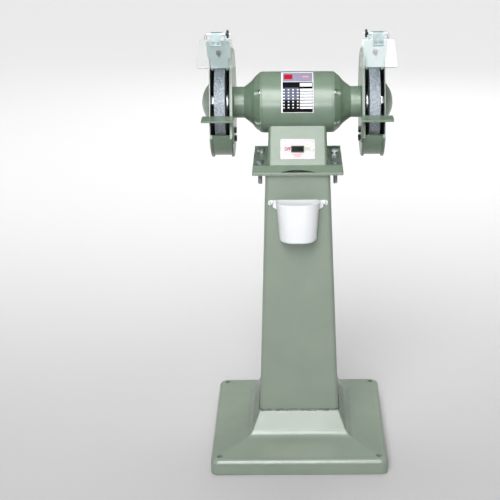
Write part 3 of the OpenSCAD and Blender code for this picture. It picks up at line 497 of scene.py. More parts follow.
def fillet(
    before: Point, corner: Point, after: Point, radius: float, steps: int = 6,
) -> list[Point]:
    """The arc that rounds the corner between before and after.

    Args:
        before: The point before the corner.
        corner: The corner.
        after: The point after the corner.
        radius: The arc's radius.
        steps: The arc's facets.

    Returns:
        The arc's points in order.
    """
    b = Vector(corner)
    u = (Vector(before) - b).normalized()
    v = (Vector(after) - b).normalized()
    half = acos(max(-1, min(1, u.dot(v)))) / 2
    centre = b + (u + v).normalized() * radius / sin(half)
    first = b + u * radius / tan(half) - centre
    last = b + v * radius / tan(half) - centre
    a = atan2(first.y, first.x)
    sweep = (atan2(last.y, last.x) - a + 3 * pi) % (2 * pi) - pi
    turns = [a + sweep * i / steps for i in range(steps + 1)]
    return [(centre.x + radius * cos(t), centre.y + radius * sin(t)) for t in turns]


def rounded(corners: Sequence[tuple[float, float, float]], steps: int = 6) -> list[Point]:
    """The closed outline through (x, y, radius) corners.

    Args:
        corners: The corners, each with the radius it is rounded to.
        steps: Facets of each rounding.

    Returns:
        The outline's points.
    """
    outline: list[Point] = []
    for i, (x, y, radius) in enumerate(corners):
        before, after = corners[i - 1], corners[(i + 1) % len(corners)]
        outline += fillet(before[:2], (x, y), after[:2], radius, steps) if radius > 0 else [(x, y)]
    return outline


def both_halves(half: Sequence[Point]) -> list[Point]:
    """An outline that is the same on both sides of x = 0."""
    return [*half, *((-x, y) for x, y in reversed(half))]


def arc(centre: Point, radius: float, first: float, last: float, steps: int = 12) -> list[Point]:
    """Points on a circle from the first angle to the last."""
    turns = [radians(first + (last - first) * i / steps) for i in range(steps + 1)]
    return [(centre[0] + radius * cos(a), centre[1] + radius * sin(a)) for a in turns]


def at(x: float, y: float, z: float) -> Matrix:
    """A move to that point."""
    return Matrix.Translation(metres(x, y, z))


def turn(angle: float, axis: str) -> Matrix:
    """A turn about X, Y or Z."""
    return Matrix.Rotation(radians(angle), 4, axis)


# ---- where things are, from the frame's own solids ----

SPINDLE_Z = 890.0
PLATE_Z = 733.5
FOOT_Z = 740.5
OPENING_TOP = 65.0
WHEEL_MID_X = 179.0
# The switch box: half its depth where it leaves the foot, that height, and its faces' lean
BOX_HALF_DEPTH = 80.0
BOX_LOW_Z = 757.5
BOX_LEAN = degrees(atan(22.4 / 89.3))
# The column: half its depth at its foot, that height, and its faces' lean
COLUMN_HALF_DEPTH = 99.5
COLUMN_LOW_Z = 117.0
COLUMN_LEAN = degrees(atan(22.5 / 616.5))
SWITCH_Z = 794.5
GLAND_Z = 778.5
# The switch plate is drawn this far off the face it lies on
SEAT_GAP = 0.02
# Y and Z of the shield rods
ROD = (-88.989, 1069.952)

# Z of the turned piece runs along X, about the spindle
ON_SPINDLE = at(0, 0, SPINDLE_Z) @ turn(90, "Y")
# Y of the piece runs out along the upper end of the opening, Z faces the operator
ON_OPENING = at(0, 0, SPINDLE_Z) @ turn(180 - OPENING_TOP, "X")
# Y of the piece runs down the hanging pane from its rod, Z out of its front
ON_PANE = at(0, *ROD) @ turn(231, "X") @ Matrix.Scale(-1, 4, (0, 0, 1))
# X, Y, Z of the piece run along Y, Z, X
SIDEWAYS = Matrix(((0, 0, 1, 0), (1, 0, 0, 0), (0, 1, 0, 0), (0, 0, 0, 1)))


def box_face_y(z: float) -> float:
    """Distance of the switch box's front and rear faces from the middle, at height z."""
    return BOX_HALF_DEPTH - (z - BOX_LOW_Z) * tan(radians(BOX_LEAN))


def on_box_front(z: float) -> Matrix:
    """Y of the piece runs up the switch box's front, Z out of it."""
    return at(0, -box_face_y(z), z) @ turn(90 - BOX_LEAN, "X") @ at(0, 0, SEAT_GAP)


def on_column_front(z: float) -> Matrix:
    """Y of the piece runs up the column's front, Z out of it."""
    half_depth = COLUMN_HALF_DEPTH - (z - COLUMN_LOW_Z) * tan(radians(COLUMN_LEAN))
    return at(0, -half_depth, z) @ turn(90 - COLUMN_LEAN, "X")


def round_spindle(radius: float, angle: float, x: float) -> Matrix:
    """A place at that radius and angle above the front horizontal, with Z along X."""
    a = radians(angle)
    return at(x, -radius * cos(a), SPINDLE_Z + radius * sin(a)) @ turn(90, "Y")


# ---- finishes ----


def linear(colour: str) -> tuple[float, float, float, float]:
    """The linear colour of an sRGB hex value."""
    parts = [int(colour[i:i + 2], 16) / 255 for i in (1, 3, 5)]
    return (*(c / 12.92 if c <= 0.04045 else ((c + 0.055) / 1.055) ** 2.4 for c in parts), 1.0)


def add(
    tree: bpy.types.NodeTree, kind: str, feeds: Mapping[Union[str, int], Value], **settings: object,
) -> bpy.types.Node:
    """Adds a node with its settings and links.

    Args:
        tree: The material's node tree.
        kind: The node's type, without its ShaderNode prefix.
        feeds: What goes into each input, a value or another node's output.
        settings: The node's own properties.

    Returns:
        The new node.
    """
    node = tree.nodes.new(f"ShaderNode{kind}")
    for name, value in settings.items():
        setattr(node, name, value)
    for name, value in feeds.items():
        if isinstance(value, bpy.types.NodeSocket):
            tree.links.new(value, node.inputs[name])
        else:
            node.inputs[name].default_value = value
    return node


def shade(colour: tuple, factor: float) -> tuple:
    """The colour made lighter or darker by factor."""
    return (*(min(1.0, c * factor) for c in colour[:3]), 1.0)


@dataclass(frozen=True)
class Finish:
    """A finish that varies a little over the surface.

    Attributes:
        name: The material's common name and how it was made.
        slot: The record's slot for it; not used.
        colour: Its sRGB hex colour.
        rough: Its roughness, least and most.
        metallic: 1 for bare metal.
        ior: Its refractive index.
        mottle_mm: Size of its colour blotches.
        mottle: How far those blotches go from the colour.
        bump_mm: Size of its surface texture.
        bump: Height of that texture in millimetres.
        stretch: How much finer the patterns are along X, Y and Z.
        shine: Its specular level, 0.5 for a plain clean surface.
    """

    name: str
    slot: str
    colour: str
    rough: tuple[float, float]
    metallic: float = 0.0
    ior: float = 1.5
    mottle_mm: float = 30.0
    mottle: float = 0.04
    bump_mm: float = 2.0
    bump: float = 0.02
    stretch: tuple[float, float, float] = (1.0, 1.0, 1.0)
    shine: float = 0.5

    def material(self) -> Material:
        """The Blender material, made once.

        Returns:
            The material, the same one for every piece with this finish.
        """
        known = bpy.data.materials.get(self.name)
        if known:
            return known
        material = bpy.data.materials.new(self.name)
        material.use_nodes = True
        material.diffuse_color = linear(self.colour)
        shader = material.node_tree.nodes["Principled BSDF"]
        shader.inputs["Metallic"].default_value = self.metallic
        if not self.metallic:
            shader.inputs["IOR"].default_value = self.ior
            shader.inputs["Specular IOR Level"].default_value = self.shine
        self.compose(material.node_tree, shader)
        return material

    def where(self, tree: bpy.types.NodeTree) -> Socket:
        """Places on the object, for its patterns."""
        place_on = add(tree, "TexCoord", {}).outputs["Object"]
        return add(tree, "Mapping", {"Vector": place_on, "Scale": self.stretch}).outputs["Vector"]

    def compose(self, tree: bpy.types.NodeTree, shader: bpy.types.Node) -> None:
        """Sets the shader's colour, gloss and surface.

        Args:
            tree: The material's node tree.
            shader: Its Principled BSDF node.
        """
        base = linear(self.colour)
        spot = self.where(tree)
        clouds = add(
            tree, "TexNoise", {"Vector": spot, "Scale": 1 / (self.mottle_mm * MM), "Detail": 4.0},
        )
        tone = add(tree, "MapRange", {
            "Value": clouds.outputs["Fac"], "From Min": NOISE_LOW, "From Max": NOISE_HIGH,
        })
        tint = add(tree, "Mix", {
            MIX_FACTOR: tone.outputs["Result"],
            MIX_LOW: shade(base, 1 - self.mottle), MIX_HIGH: shade(base, 1 + self.mottle),
        }, data_type="RGBA")
        tree.links.new(tint.outputs[MIXED], shader.inputs["Base Color"])
        rubbed = add(
            tree, "TexNoise", {"Vector": spot, "Scale": 3 / (self.mottle_mm * MM), "Detail": 3.0},
        )
        gloss = add(tree, "MapRange", {
            "Value": rubbed.outputs["Fac"], "From Min": NOISE_LOW, "From Max": NOISE_HIGH,
            "To Min": self.rough[0], "To Max": self.rough[1],
        })
        tree.links.new(gloss.outputs["Result"], shader.inputs["Roughness"])
        skin = add(
            tree, "TexNoise", {"Vector": spot, "Scale": 1 / (self.bump_mm * MM), "Detail": 1.0},
        )
        relief = add(tree, "Bump", {"Height": skin.outputs["Fac"], "Distance": self.bump * MM})
        tree.links.new(relief.outputs["Normal"], shader.inputs["Normal"])


@dataclass(frozen=True)
class StoveEnamel(Finish):
    """Sprayed and baked gloss enamel: a hard clear skin over an even colour, with orange peel.

    Attributes:
        coat: How much of the gloss skin shows.
    """

    coat: float = 0.35

    def compose(self, tree: bpy.types.NodeTree, shader: bpy.types.Node) -> None:
        """Adds the gloss skin.

        Args:
            tree: The material's node tree.
            shader: Its Principled BSDF node.
        """
        super().compose(tree, shader)
        shader.inputs["Coat Weight"].default_value = self.coat
        shader.inputs["Coat Roughness"].default_value = 0.22


@dataclass(frozen=True)
class MouldedPlastic(Finish):
    """Injection-moulded plastic: light goes a little way in, and the mould leaves a soft sheen.

    Attributes:
        depth_mm: How far light goes in, 0 for a plastic that is opaque.
    """

    depth_mm: float = 0.0

    def compose(self, tree: bpy.types.NodeTree, shader: bpy.types.Node) -> None:
        """Adds the light that goes in.

        Args:
            tree: The material's node tree.
            shader: Its Principled BSDF node.
        """
        super().compose(tree, shader)
        if self.depth_mm:
            shader.inputs["Subsurface Weight"].default_value = 0.25
            shader.inputs["Subsurface Radius"].default_value = (self.depth_mm * MM,) * 3
            shader.inputs["Subsurface Scale"].default_value = 1.0


@dataclass(frozen=True)
class TurnedSteel(Finish):
    """Steel faced on a lathe: fine rings about the spindle that drag the highlights round.

    Attributes:
        ring_mm: From one ring to the next.
    """

    ring_mm: float = 0.8

    def compose(self, tree: bpy.types.NodeTree, shader: bpy.types.Node) -> None:
        """Adds the tool's rings, drawn coarser than the real 0.1 mm so that they show.

        Args:
            tree: The material's node tree.
            shader: Its Principled BSDF node.
        """
        super().compose(tree, shader)
        spot = add(tree, "TexCoord", {}).outputs["Object"]
        centred = add(
            tree, "Mapping", {"Vector": spot, "Location": (0.0, 0.0, -SPINDLE_Z * MM)},
        ).outputs["Vector"]
        rings = add(
            tree, "TexWave",
            {"Vector": centred, "Scale": 0.314 / (self.ring_mm * MM), "Distortion": 0.4},
            wave_type="RINGS", rings_direction="X",
        )
        relief = add(tree, "Bump", {"Height": rings.outputs["Fac"], "Distance": self.bump * MM})
        tree.links.new(relief.outputs["Normal"], shader.inputs["Normal"])


@dataclass(frozen=True)
class BondedGrit(Finish):
    """Aluminium oxide grains in a fired bond: grey grains of random tone, the lightest drawn as
    painted glints, and pores darkened as painted shade.

    Attributes:
        grit_mm: The size of a grain.
    """

    grit_mm: float = 1.3

    def compose(self, tree: bpy.types.NodeTree, shader: bpy.types.Node) -> None:
        """Adds grains drawn at twice the size of a 36 grit, so that they show.

        Args:
            tree: The material's node tree.
            shader: Its Principled BSDF node.
        """
        base = linear(self.colour)
        spot = self.where(tree)
        grains = add(tree, "TexVoronoi", {"Vector": spot, "Scale": 1 / (self.grit_mm * MM)})
        tone = add(tree, "SeparateColor", {"Color": grains.outputs["Color"]})
        pores = add(
            tree, "TexNoise", {"Vector": spot, "Scale": 0.6 / (self.grit_mm * MM), "Detail": 2.0},
        )
        # the pores darken the colour to 0.3 of the grain's tone: painted shade in the pores
        pore_shade = add(tree, "MapRange", {
            "Value": pores.outputs["Fac"], "From Min": 0.36, "From Max": 0.46,
            "To Min": 0.3, "To Max": 1.0,
        })
        tone_and_pore_shade = add(
            tree, "Math", {0: tone.outputs["Red"], 1: pore_shade.outputs["Result"]},
            operation="MULTIPLY",
        )
        # the lightest grains, up to 1.75 times the colour, stand in as painted glints
        tint = add(tree, "Mix", {
            MIX_FACTOR: tone_and_pore_shade.outputs["Value"],
            MIX_LOW: shade(base, 0.4), MIX_HIGH: shade(base, 1.75),
        }, data_type="RGBA")
        tree.links.new(tint.outputs[MIXED], shader.inputs["Base Color"])
        gloss = add(
            tree, "MapRange",
            {"Value": tone.outputs["Green"], "To Min": self.rough[0], "To Max": self.rough[1]},
        )
        tree.links.new(gloss.outputs["Result"], shader.inputs["Roughness"])
        relief = add(
            tree, "Bump", {"Height": grains.outputs["Distance"], "Distance": self.bump * MM},
        )
        tree.links.new(relief.outputs["Normal"], shader.inputs["Normal"])


@dataclass(frozen=True)
class ClearSheet(Finish):
    """Polycarbonate sheet: water-clear, with fine wiping marks."""

    def compose(self, tree: bpy.types.NodeTree, shader: bpy.types.Node) -> None:
        """Lets the light through."""
        super().compose(tree, shader)
        shader.inputs["Transmission Weight"].default_value = 0.92


# Gloss grey-green stove enamel, sprayed on pressed steel: flat panels with broad soft highlights
PRESSED_ENAMEL = StoveEnamel(
    "grey_green_enamel_on_sheet", "paint", "#737F72", (0.3, 0.42), mottle_mm=90, mottle=0.05,
    bump_mm=16, bump=0.04, coat=0.6,
)
# The same enamel over iron castings, its colour drawn darker and greener than on sheet as painted
# shade; the sand's skin shows through a little
CASTING_ENAMEL_DARKENED_AS_SHADE = StoveEnamel(
    "grey_green_enamel_on_casting_darkened_as_shade", "paint", "#607261", (0.36, 0.46), mottle_mm=35, mottle=0.07,
    bump_mm=9, bump=0.06, coat=0.45,
)
# Pale enamel on the deflector plates, a little bluer and lighter than the machine
DEFLECTOR_ENAMEL = StoveEnamel(
    "pale_enamel_on_sheet", "deflector_paint", "#B2CBCF", (0.3, 0.4), mottle_mm=30, mottle=0.05,
    bump_mm=9, bump=0.03,
)
# Welded seam under the enamel, scaly and dull; its colour is drawn darker than the paint as painted
# shade in the crease at the column's foot
WELD_ENAMEL_WITH_PAINTED_SHADE = StoveEnamel(
    "enamel_over_weld_with_painted_shade", "paint", "#4F5A50", (0.3, 0.55), mottle_mm=5, mottle=0.35, bump_mm=3,
    bump=0.25, coat=0.15,
)
# Polypropylene bucket, injection moulded: bright white and slightly waxy
WHITE_POLYPROPYLENE = MouldedPlastic(
    "white_polypropylene_moulded", "bucket_plastic", "#CED0D2", (0.32, 0.42), mottle=0.01,
    bump_mm=5, bump=0.01, depth_mm=1.2,
)
# ABS switch and nylon gland: fine spark-eroded grain, close to black
BLACK_PLASTIC = MouldedPlastic(
    "black_abs_moulded", "black_plastic", "#15181A", (0.3, 0.45), mottle=0.1, mottle_mm=6,
    bump_mm=1.5, bump=0.02,
)
# The rocker is polished, and its black leans to green where the light goes in
ROCKER_PLASTIC = MouldedPlastic(
    "dark_green_polycarbonate_moulded", "black_plastic", "#07120E", (0.45, 0.6), mottle=0.1,
    mottle_mm=6, bump_mm=4, bump=0.005, shine=0.15,
)
# Chemically blackened steel: dark and oily, browner where it is rubbed
BLACKENED_STEEL = Finish(
    "blackened_steel", "black_steel", "#2C2D30", (0.3, 0.5), metallic=0.85, mottle_mm=4,
    mottle=0.3, bump_mm=2, bump=0.02,
)
# Bright zinc plate: a cool satin with cloudy passivation
ZINC_PLATE = Finish(
    "zinc_plated_steel", "zinc_steel", "#C9CED3", (0.22, 0.42), metallic=1.0, mottle_mm=5,
    mottle=0.12, bump_mm=2, bump=0.015,
)
# The clip's strap, zinc plated in the barrel: duller, its sheen scuffed by folding
DULL_ZINC = Finish(
    "barrel_zinc_plated_strap", "zinc_steel", "#8F9C9D", (0.5, 0.62), metallic=1.0, mottle_mm=5,
    mottle=0.15, bump_mm=2, bump=0.02,
)
# Faces turned on the lathe: rings, and a gleam that runs across them
TURNED_STEEL = TurnedSteel(
    "turned_steel", "machined_steel", "#C4C6C8", (0.2, 0.34), metallic=1.0, mottle_mm=8,
    mottle=0.06, bump=0.01,
)
# Grey aluminium oxide wheel, 36 grit: speckled, dry and rough
GREY_OXIDE = BondedGrit(
    "grey_aluminium_oxide_bonded", "abrasive", "#8A929A", (0.6, 0.9), ior=1.6, bump=0.25,
)
# Compressible washers of dyed blotting paper: matt, with a felted surface
BLOTTING_PAPER = Finish(
    "blotting_paper_dyed", "blotter_paper", "#4E5677", (0.85, 0.95), mottle_mm=2, mottle=0.12,
    bump_mm=1, bump=0.05,
)
# Clear polycarbonate, cut from sheet
POLYCARBONATE = ClearSheet(
    "clear_polycarbonate_sheet", "clear_pane", "#F3F6F4", (0.03, 0.07), ior=1.585, mottle_mm=40,
    mottle=0.01, bump_mm=60, bump=0.02, shine=0.32,
)
# White enamelled plate behind the switch
WHITE_ENAMEL = StoveEnamel(
    "white_enamel_on_plate", "plate_white", "#A49FA1", (0.25, 0.35), mottle_mm=20, mottle=0.015,
    bump_mm=8, bump=0.01,
)
# Screen-printed inks on the plates: flat, slightly raised and semi-matt
RED_INK = Finish(
    "red_screen_ink", "plate_white", "#981424", (0.4, 0.5), mottle_mm=3, mottle=0.12, bump_mm=3,
    bump=0.005, shine=0.1,
)
PINK_INK = Finish(
    "faded_red_screen_ink", "plate_white", "#D58A90", (0.4, 0.5), mottle_mm=3, mottle=0.1,
    bump_mm=3, bump=0.005, shine=0.2,
)
GREEN_INK = Finish(
    "green_screen_ink", "plate_white", "#7E9A62", (0.4, 0.5), mottle_mm=3, mottle=0.1, bump_mm=3,
    bump=0.005, shine=0.2,
)
BLACK_INK = Finish(
    "black_screen_ink", "rating_aluminium", "#060709", (0.5, 0.6), mottle_mm=3, mottle=0.15,
    bump_mm=3, bump=0.005, shine=0.08,
)
GREY_INK = Finish(
    "blue_grey_screen_ink", "rating_aluminium", "#454C60", (0.35, 0.5), mottle_mm=3, mottle=0.15,
    bump_mm=3, bump=0.005, shine=0.2,
)
LILAC_INK = Finish(
    "pale_lilac_screen_ink", "rating_aluminium", "#7F7B90", (0.35, 0.5), mottle_mm=4, mottle=0.08,
    bump_mm=3, bump=0.005, shine=0.2,
)
WHITE_INK = Finish(
    "white_screen_ink", "rating_aluminium", "#DCDDE2", (0.35, 0.5), mottle_mm=4, mottle=0.03,
    bump_mm=3, bump=0.005, shine=0.2,
)
# Drawn aluminium can of the capacitor
DRAWN_ALUMINIUM = Finish(
    "drawn_aluminium", "capacitor_case", "#CFD0CC", (0.3, 0.45), metallic=1.0, mottle_mm=6,
    mottle=0.06, bump_mm=1, bump=0.01, stretch=(0.1, 1.0, 1.0),
)
# Stacked silicon steel laminations: fine dark lines between the sheets
LAMINATED_STEEL = Finish(
    "laminated_silicon_steel", "core_steel", "#6E7074", (0.4, 0.6), metallic=0.9, mottle_mm=1.5,
    mottle=0.3, bump_mm=1, bump=0.1, stretch=(1.0, 0.05, 0.05),
)
# Varnished copper windings: warm, glossy and lumpy with lacing
VARNISHED_COPPER = Finish(
    "varnished_copper_wire", "copper", "#A8562C", (0.25, 0.4), metallic=0.8, mottle_mm=3,
    mottle=0.25, bump_mm=1.4, bump=0.3, stretch=(1.0, 0.3, 0.3),
)


def hand_over(obj: Object, finish: Finish, body: str, *nodes: str, angle: float = 38) -> Object:
    """Finishes a piece: shading, material, the solids it stands for, and its body.

    Args:
        obj: The shaped piece.
        finish: Its finish.
        body: The moving body it rides on.
        nodes: The solids that it replaces.
        angle: Edges that turn by more stay crisp.

    Returns:
        The piece.
    """
    smooth(obj, angle)
    obj.data.materials.clear()
    obj.data.materials.append(finish.material())
    if nodes:
        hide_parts(*nodes)
    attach(obj, body)
    log.info("%s: %s on %s", obj.name, finish.name, body)
    return obj


def hand_over_pair(
    obj: Object, base: str, finish: Finish, body: str, node: str, angle: float = 32,
) -> None:
    """Hands over a right-hand piece and its left-hand twin.

    Args:
        obj: The shaped right-hand piece.
        base: The pieces' name, without the side.
        finish: Their finish.
        body: The body they ride on, with {side} in it where each side has its own.
        node: The name, without the side, of the solids that they replace.
        angle: Edges that turn by more stay crisp.
    """
    twin = mirrored(obj, f"{base}_left")
    for side, piece in (("right", obj), ("left", twin)):
        hand_over(piece, finish, body.format(side=side), f"{node}_{side}", angle=angle)


def dress(finish: Finish, *nodes: str) -> None:
    """Gives the finish to solids whose own shape is kept.

    Args:
        finish: The finish.
        nodes: The solids' names.
    """
    for node in nodes:
        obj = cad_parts[node]
        if not obj.material_slots:
            obj.data.materials.append(finish.material())
        for slot in obj.material_slots:
            slot.material = finish.material()
        log.info("%s: %s on its own solid", node, finish.name)


# ---- fasteners ----


@dataclass
class Fasteners:
    """Bolts, screws and nuts, each with its seat at z = 0 and its shank down.

    Attributes:
        thread_sides: Facets round a threaded shank.
    """

    thread_sides: int = 32

    def hex_head(self, name: str, across: float, height: float) -> Object:
        """A forged hexagon with its top corners chamfered.

        Args:
            name: The piece's name.
            across: Its width across flats.
            height: Its height.

        Returns:
            The hexagon, standing on its seat.
        """
        head = bar(name, across / 2 / cos(pi / 6), height, (0, 0, height / 2), sides=6)
        r = across / 2
        cone = turned(
            "chamfer",
            [(0, -1), (r * 1.3, -1), (r * 1.3, height - r * 0.2), (r * 0.93, height), (0, height)],
            steps=48,
        )
        return ease(combine(Join.KEEP, head, cone), 0.25, angle=25)

    def thread(
        self, name: str, radius: float, length: float, threaded: float, pitch: float,
    ) -> Object:
        """A shank whose last part is threaded, drawn as rings.

        Args:
            name: The piece's name.
            radius: The shank's radius.
            length: Its length below the seat.
            threaded: How much of that is threaded.
            pitch: From one ring to the next.

        Returns:
            The shank.
        """
        profile: list[Point] = [(0, 1), (radius, 1), (radius, -length + threaded)]
        z = -length + threaded
        while z - pitch > -length + 1:
            profile += [(radius - 0.35 * pitch, z - pitch * 0.5), (radius, z - pitch)]
            z -= pitch
        profile += [(radius - 0.8, -length), (0, -length)]
        return turned(name, profile, steps=self.thread_sides)

    def hex_bolt(
        self, name: str, size: float, length: float, across: float, height: float, threaded: float,
    ) -> Object:
        """A hexagon bolt.

        Args:
            name: The piece's name.
            size: The shank's diameter.
            length: The shank's length.
            across: The head's width across flats.
            height: The head's height.
            threaded: How much of the shank is threaded.

        Returns:
            The bolt.
        """
        head = self.hex_head(name, across, height)
        shank = self.thread("shank", size / 2, length, min(threaded, length - 1), size * 0.15)
        return gather(name, [head, shank])

    def pan_screw(self, name: str, size: float, length: float) -> Object:
        """A pan head screw with a cross recess.

        Args:
            name: The piece's name.
            size: The shank's diameter.
            length: The shank's length.

        Returns:
            The screw.
        """
        r, h = size * 0.95, size * 0.6
        profile = [(0, 0), (r, 0), *fillet((r, 0), (r, h), (0, h), h * 0.62, 5), (0, h)]
        head = turned(name, profile, steps=32)
        for angle in (0, 90):
            slot = place(block("slot", (size * 1.05, size * 0.22, h), (0, 0, h)), turn(angle, "Z"))
            combine(Join.CUT, head, slot)
        shank = bar("shank", size / 2, length, (0, 0, -length / 2 + 0.1), sides=16)
        return gather(name, [head, shank])

    def washer(self, name: str, outer: float, inner: float, thick: float) -> Object:
        """A stamped washer with rolled edges.

        Args:
            name: The piece's name.
            outer: Its outer radius.
            inner: Its inner radius.
            thick: Its thickness.

        Returns:
            The washer.
        """
        e = min(0.3, thick / 4)
        profile = [
            (inner, e), (inner + e, 0), (outer - e, 0), (outer, e), (outer, thick - e),
            (outer - e, thick), (inner + e, thick), (inner, thick - e),
        ]
        return turned(name, profile, steps=48)


# ---- the stand ----


@dataclass
class Stand:
    """Square pressed pan with a raised foot, tapered column, its weld, and the top plate.

    Attributes:
        pan_half: Half the pan's width.
        rim_h: Height of the pan's rim.
        foot_half: Half the width of the raised foot, and of the column on it.
        foot_h: Height of the raised foot.
        pan_wall: The pan's sheet.
        skirt_corner_r: Corner radius where the skirt rises to the foot.
        rim_corner_r: Corner radius of the rim.
        anchor_at: The anchor holes, from the middle along X and Y.
        anchor_r: Radius of an anchor hole.
        top_half: Half the width of the column at its top.
        column_wall: The column's sheet.
        plate: Width, depth and thickness of the top plate.
    """

    pan_half: float = 220.0
    rim_h: float = 41.0
    foot_half: float = 99.5
    foot_h: float = 117.0
    pan_wall: float = 4.0
    skirt_corner_r: float = 3.0
    rim_corner_r: float = 18.0
    anchor_at: float = 197.5
    anchor_r: float = 6.5
    top_half: float = 77.0
    column_wall: float = 3.0
    plate: tuple[float, float, float] = (216.0, 172.0, 7.0)

    def section(self) -> list[Point]:
        """The pan's skin from the raised foot out, down and in, as (half width, height).

        Returns:
            The section's points.
        """
        knee, rim_in = (self.foot_half + 23, self.rim_h + 16), (self.pan_half - 15, self.rim_h)
        side, low = (self.pan_half, self.rim_h), (self.pan_half, 0)
        return [
            (self.foot_half, self.foot_h),
            *fillet((self.foot_half, self.foot_h), knee, rim_in, 28, 8),
            *fillet(knee, rim_in, side, 24, 3),
            *fillet(rim_in, side, low, 12, 7),
            (self.pan_half, 3.4), (self.pan_half - 0.5, 1.2), (self.pan_half - 2, 0),
            (self.pan_half - 16, 0),
        ]

    def corner_r(self, half: float) -> float:
        """The pan's corner radius seen from above: tight on the skirt, full at the rim.

        Args:
            half: Half the pan's width at that ring.

        Returns:
            The corner radius there.
        """
        share = (half - self.foot_half - 30) / (self.pan_half - self.foot_half - 42)
        share = max(0, min(1, share))
        return self.skirt_corner_r + (self.rim_corner_r - self.skirt_corner_r) * share

    def ease_corners(self, skin: Object, half: float, z: float, k: float) -> None:
        """Scales the newest ring's four corner arcs about its sharp corners by k.

        Args:
            skin: The pan in edit mode.
            half: The ring's half width.
            z: The ring's height.
            k: The scale.
        """

        def on_ring(point: object) -> bool:
            """Whether a point belongs to the newest ring."""
            return abs(point.co.z / MM - z) < 0.01

        for sx, sy in ((-1, -1), (-1, 1), (1, -1), (1, 1)):
            pick(skin, Part.POINTS, lambda v: on_ring(v) and v.co.x * sx > 0 and v.co.y * sy > 0)
            corner = metres(sx * half, sy * half, z)
            bpy.ops.transform.resize(value=(k, k, 1), center_override=corner)
        pick(skin, Part.POINTS, on_ring)

    def pan(self) -> None:
        """The pan, drawn down from the raised foot ring by ring, then given its wall."""
        width, above = 2 * self.foot_half * MM, metres(0, 0, self.foot_h)
        skin = start("plane", "base_pan_pressing", size=width, location=above)
        section = self.section()
        radius = self.skirt_corner_r
        with editing(skin, Part.POINTS):
            bpy.ops.mesh.select_all(action="SELECT")
            bpy.ops.mesh.bevel(affect="VERTICES", offset=radius * MM, segments=6, profile=0.5)
            bpy.ops.mesh.select_all(action="SELECT")
            for (half, z), (next_half, next_z) in zip(section, section[1:]):
                bpy.ops.mesh.extrude_edges_move(
                    TRANSFORM_OT_translate={"value": metres(0, 0, next_z - z)}
                )
                k = next_half / half
                bpy.ops.transform.resize(value=(k, k, 1), center_override=(0, 0, 0))
                radius *= k
                if next_z < z:
                    wanted = self.corner_r(next_half)
                    self.ease_corners(skin, next_half, next_z, wanted / radius)
                    radius = wanted
        outward(skin)
        apply(skin, "SOLIDIFY", thickness=self.pan_wall * MM, offset=-1, use_even_offset=True)
        corners = [(x * self.anchor_at, y * self.anchor_at) for x in (-1, 1) for y in (-1, 1)]
        sleeves = [bar("sleeve", 11, 38, (x, y, 20)) for x, y in corners]
        holes = [bar("hole", self.anchor_r, 60, (x, y, 25)) for x, y in corners]
        combine(Join.ADD, skin, gather("sleeves", sleeves))
        combine(Join.CUT, skin, gather("holes", holes))
        round_edges(skin, lambda e: self.is_hole_rim(middle(e)), 0.8, 2)
        hand_over(skin, PRESSED_ENAMEL, "stand", "base_pan", angle=30)

    def is_hole_rim(self, p: Vector) -> bool:
        """Whether a point lies on the upper edge of an anchor hole."""
        off = hypot(abs(p.x) - self.anchor_at, abs(p.y) - self.anchor_at)
        return abs(off - self.anchor_r) < 0.2 and abs(p.z - self.rim_h) < 0.3

    def column(self) -> None:
        """The folded column, open at both ends."""
        width, height = 2 * self.foot_half, PLATE_Z - self.foot_h
        tube = block("column_folding", (width, width, height), (0, 0, self.foot_h + height / 2))
        with editing(tube, Part.FACES):
            pick(tube, Part.FACES, lambda f: f.normal.z > NEARLY)
            k = self.top_half / self.foot_half
            bpy.ops.transform.resize(value=(k, k, 1), center_override=(0, 0, 0))
        round_edges(tube, upright, 10, 8)
        with editing(tube, Part.FACES):
            pick(tube, Part.FACES, lambda f: abs(f.normal.z) > NEARLY)
            bpy.ops.mesh.delete(type="FACE")
        outward(tube)
        apply(tube, "SOLIDIFY", thickness=self.column_wall * MM, offset=-1, use_even_offset=True)
        hand_over(tube, PRESSED_ENAMEL, "stand", "column", angle=30)

    def weld(self) -> None:
        """The fillet weld round the column's foot, rippled by the welder's passes."""
        width, above = 2 * (self.foot_half + 0.6) * MM, metres(0, 0, self.foot_h + 0.8)
        bead = start("plane", "column_weld_bead", size=width, location=above)
        with editing(bead, Part.POINTS):
            bpy.ops.mesh.select_all(action="SELECT")
            bpy.ops.mesh.bevel(affect="VERTICES", offset=9 * MM, segments=6, profile=0.5)
        with editing(bead, Part.EDGES):
            bpy.ops.mesh.select_all(action="SELECT")
            bpy.ops.mesh.delete(type="ONLY_FACE")
        with editing(bead, Part.EDGES):
            pick(bead, Part.EDGES, lambda e: (e.verts[0].co - e.verts[1].co).length > 50 * MM)
            bpy.ops.mesh.subdivide(number_cuts=84)
        focus(bead)
        bpy.ops.object.convert(target="CURVE")
        bead = bpy.context.active_object
        bead.data.bevel_depth = 2.9 * MM
        bead.data.bevel_resolution = 2
        bpy.ops.object.convert(target="MESH")
        bead = outward(bpy.context.active_object)
        ripple = bpy.data.textures.new("weld_ripple", "CLOUDS")
        ripple.noise_scale = 7 * MM
        apply(
            bead, "DISPLACE", texture=ripple, strength=4.2 * MM, mid_level=0.55,
            texture_coords="LOCAL",
        )
        # the bead's darker colour is painted shade in the crease
        hand_over(bead, WELD_ENAMEL_WITH_PAINTED_SHADE, "stand", angle=60)

    def top_plate(self) -> None:
        """The flame-cut plate under the motor."""
        width, depth, thick = self.plate
        plate = block("top_plate_slab", (width, depth, thick), (0, 0, PLATE_Z + thick / 2))
        round_edges(plate, upright, 4, 4)
        hand_over(ease(plate, 0.9, 3), PRESSED_ENAMEL, "stand", "top_plate")

    def build(self) -> None:
        """Builds the stand."""
        self.pan()
        self.column()
        self.weld()
        self.top_plate()


# ---- the water bucket ----


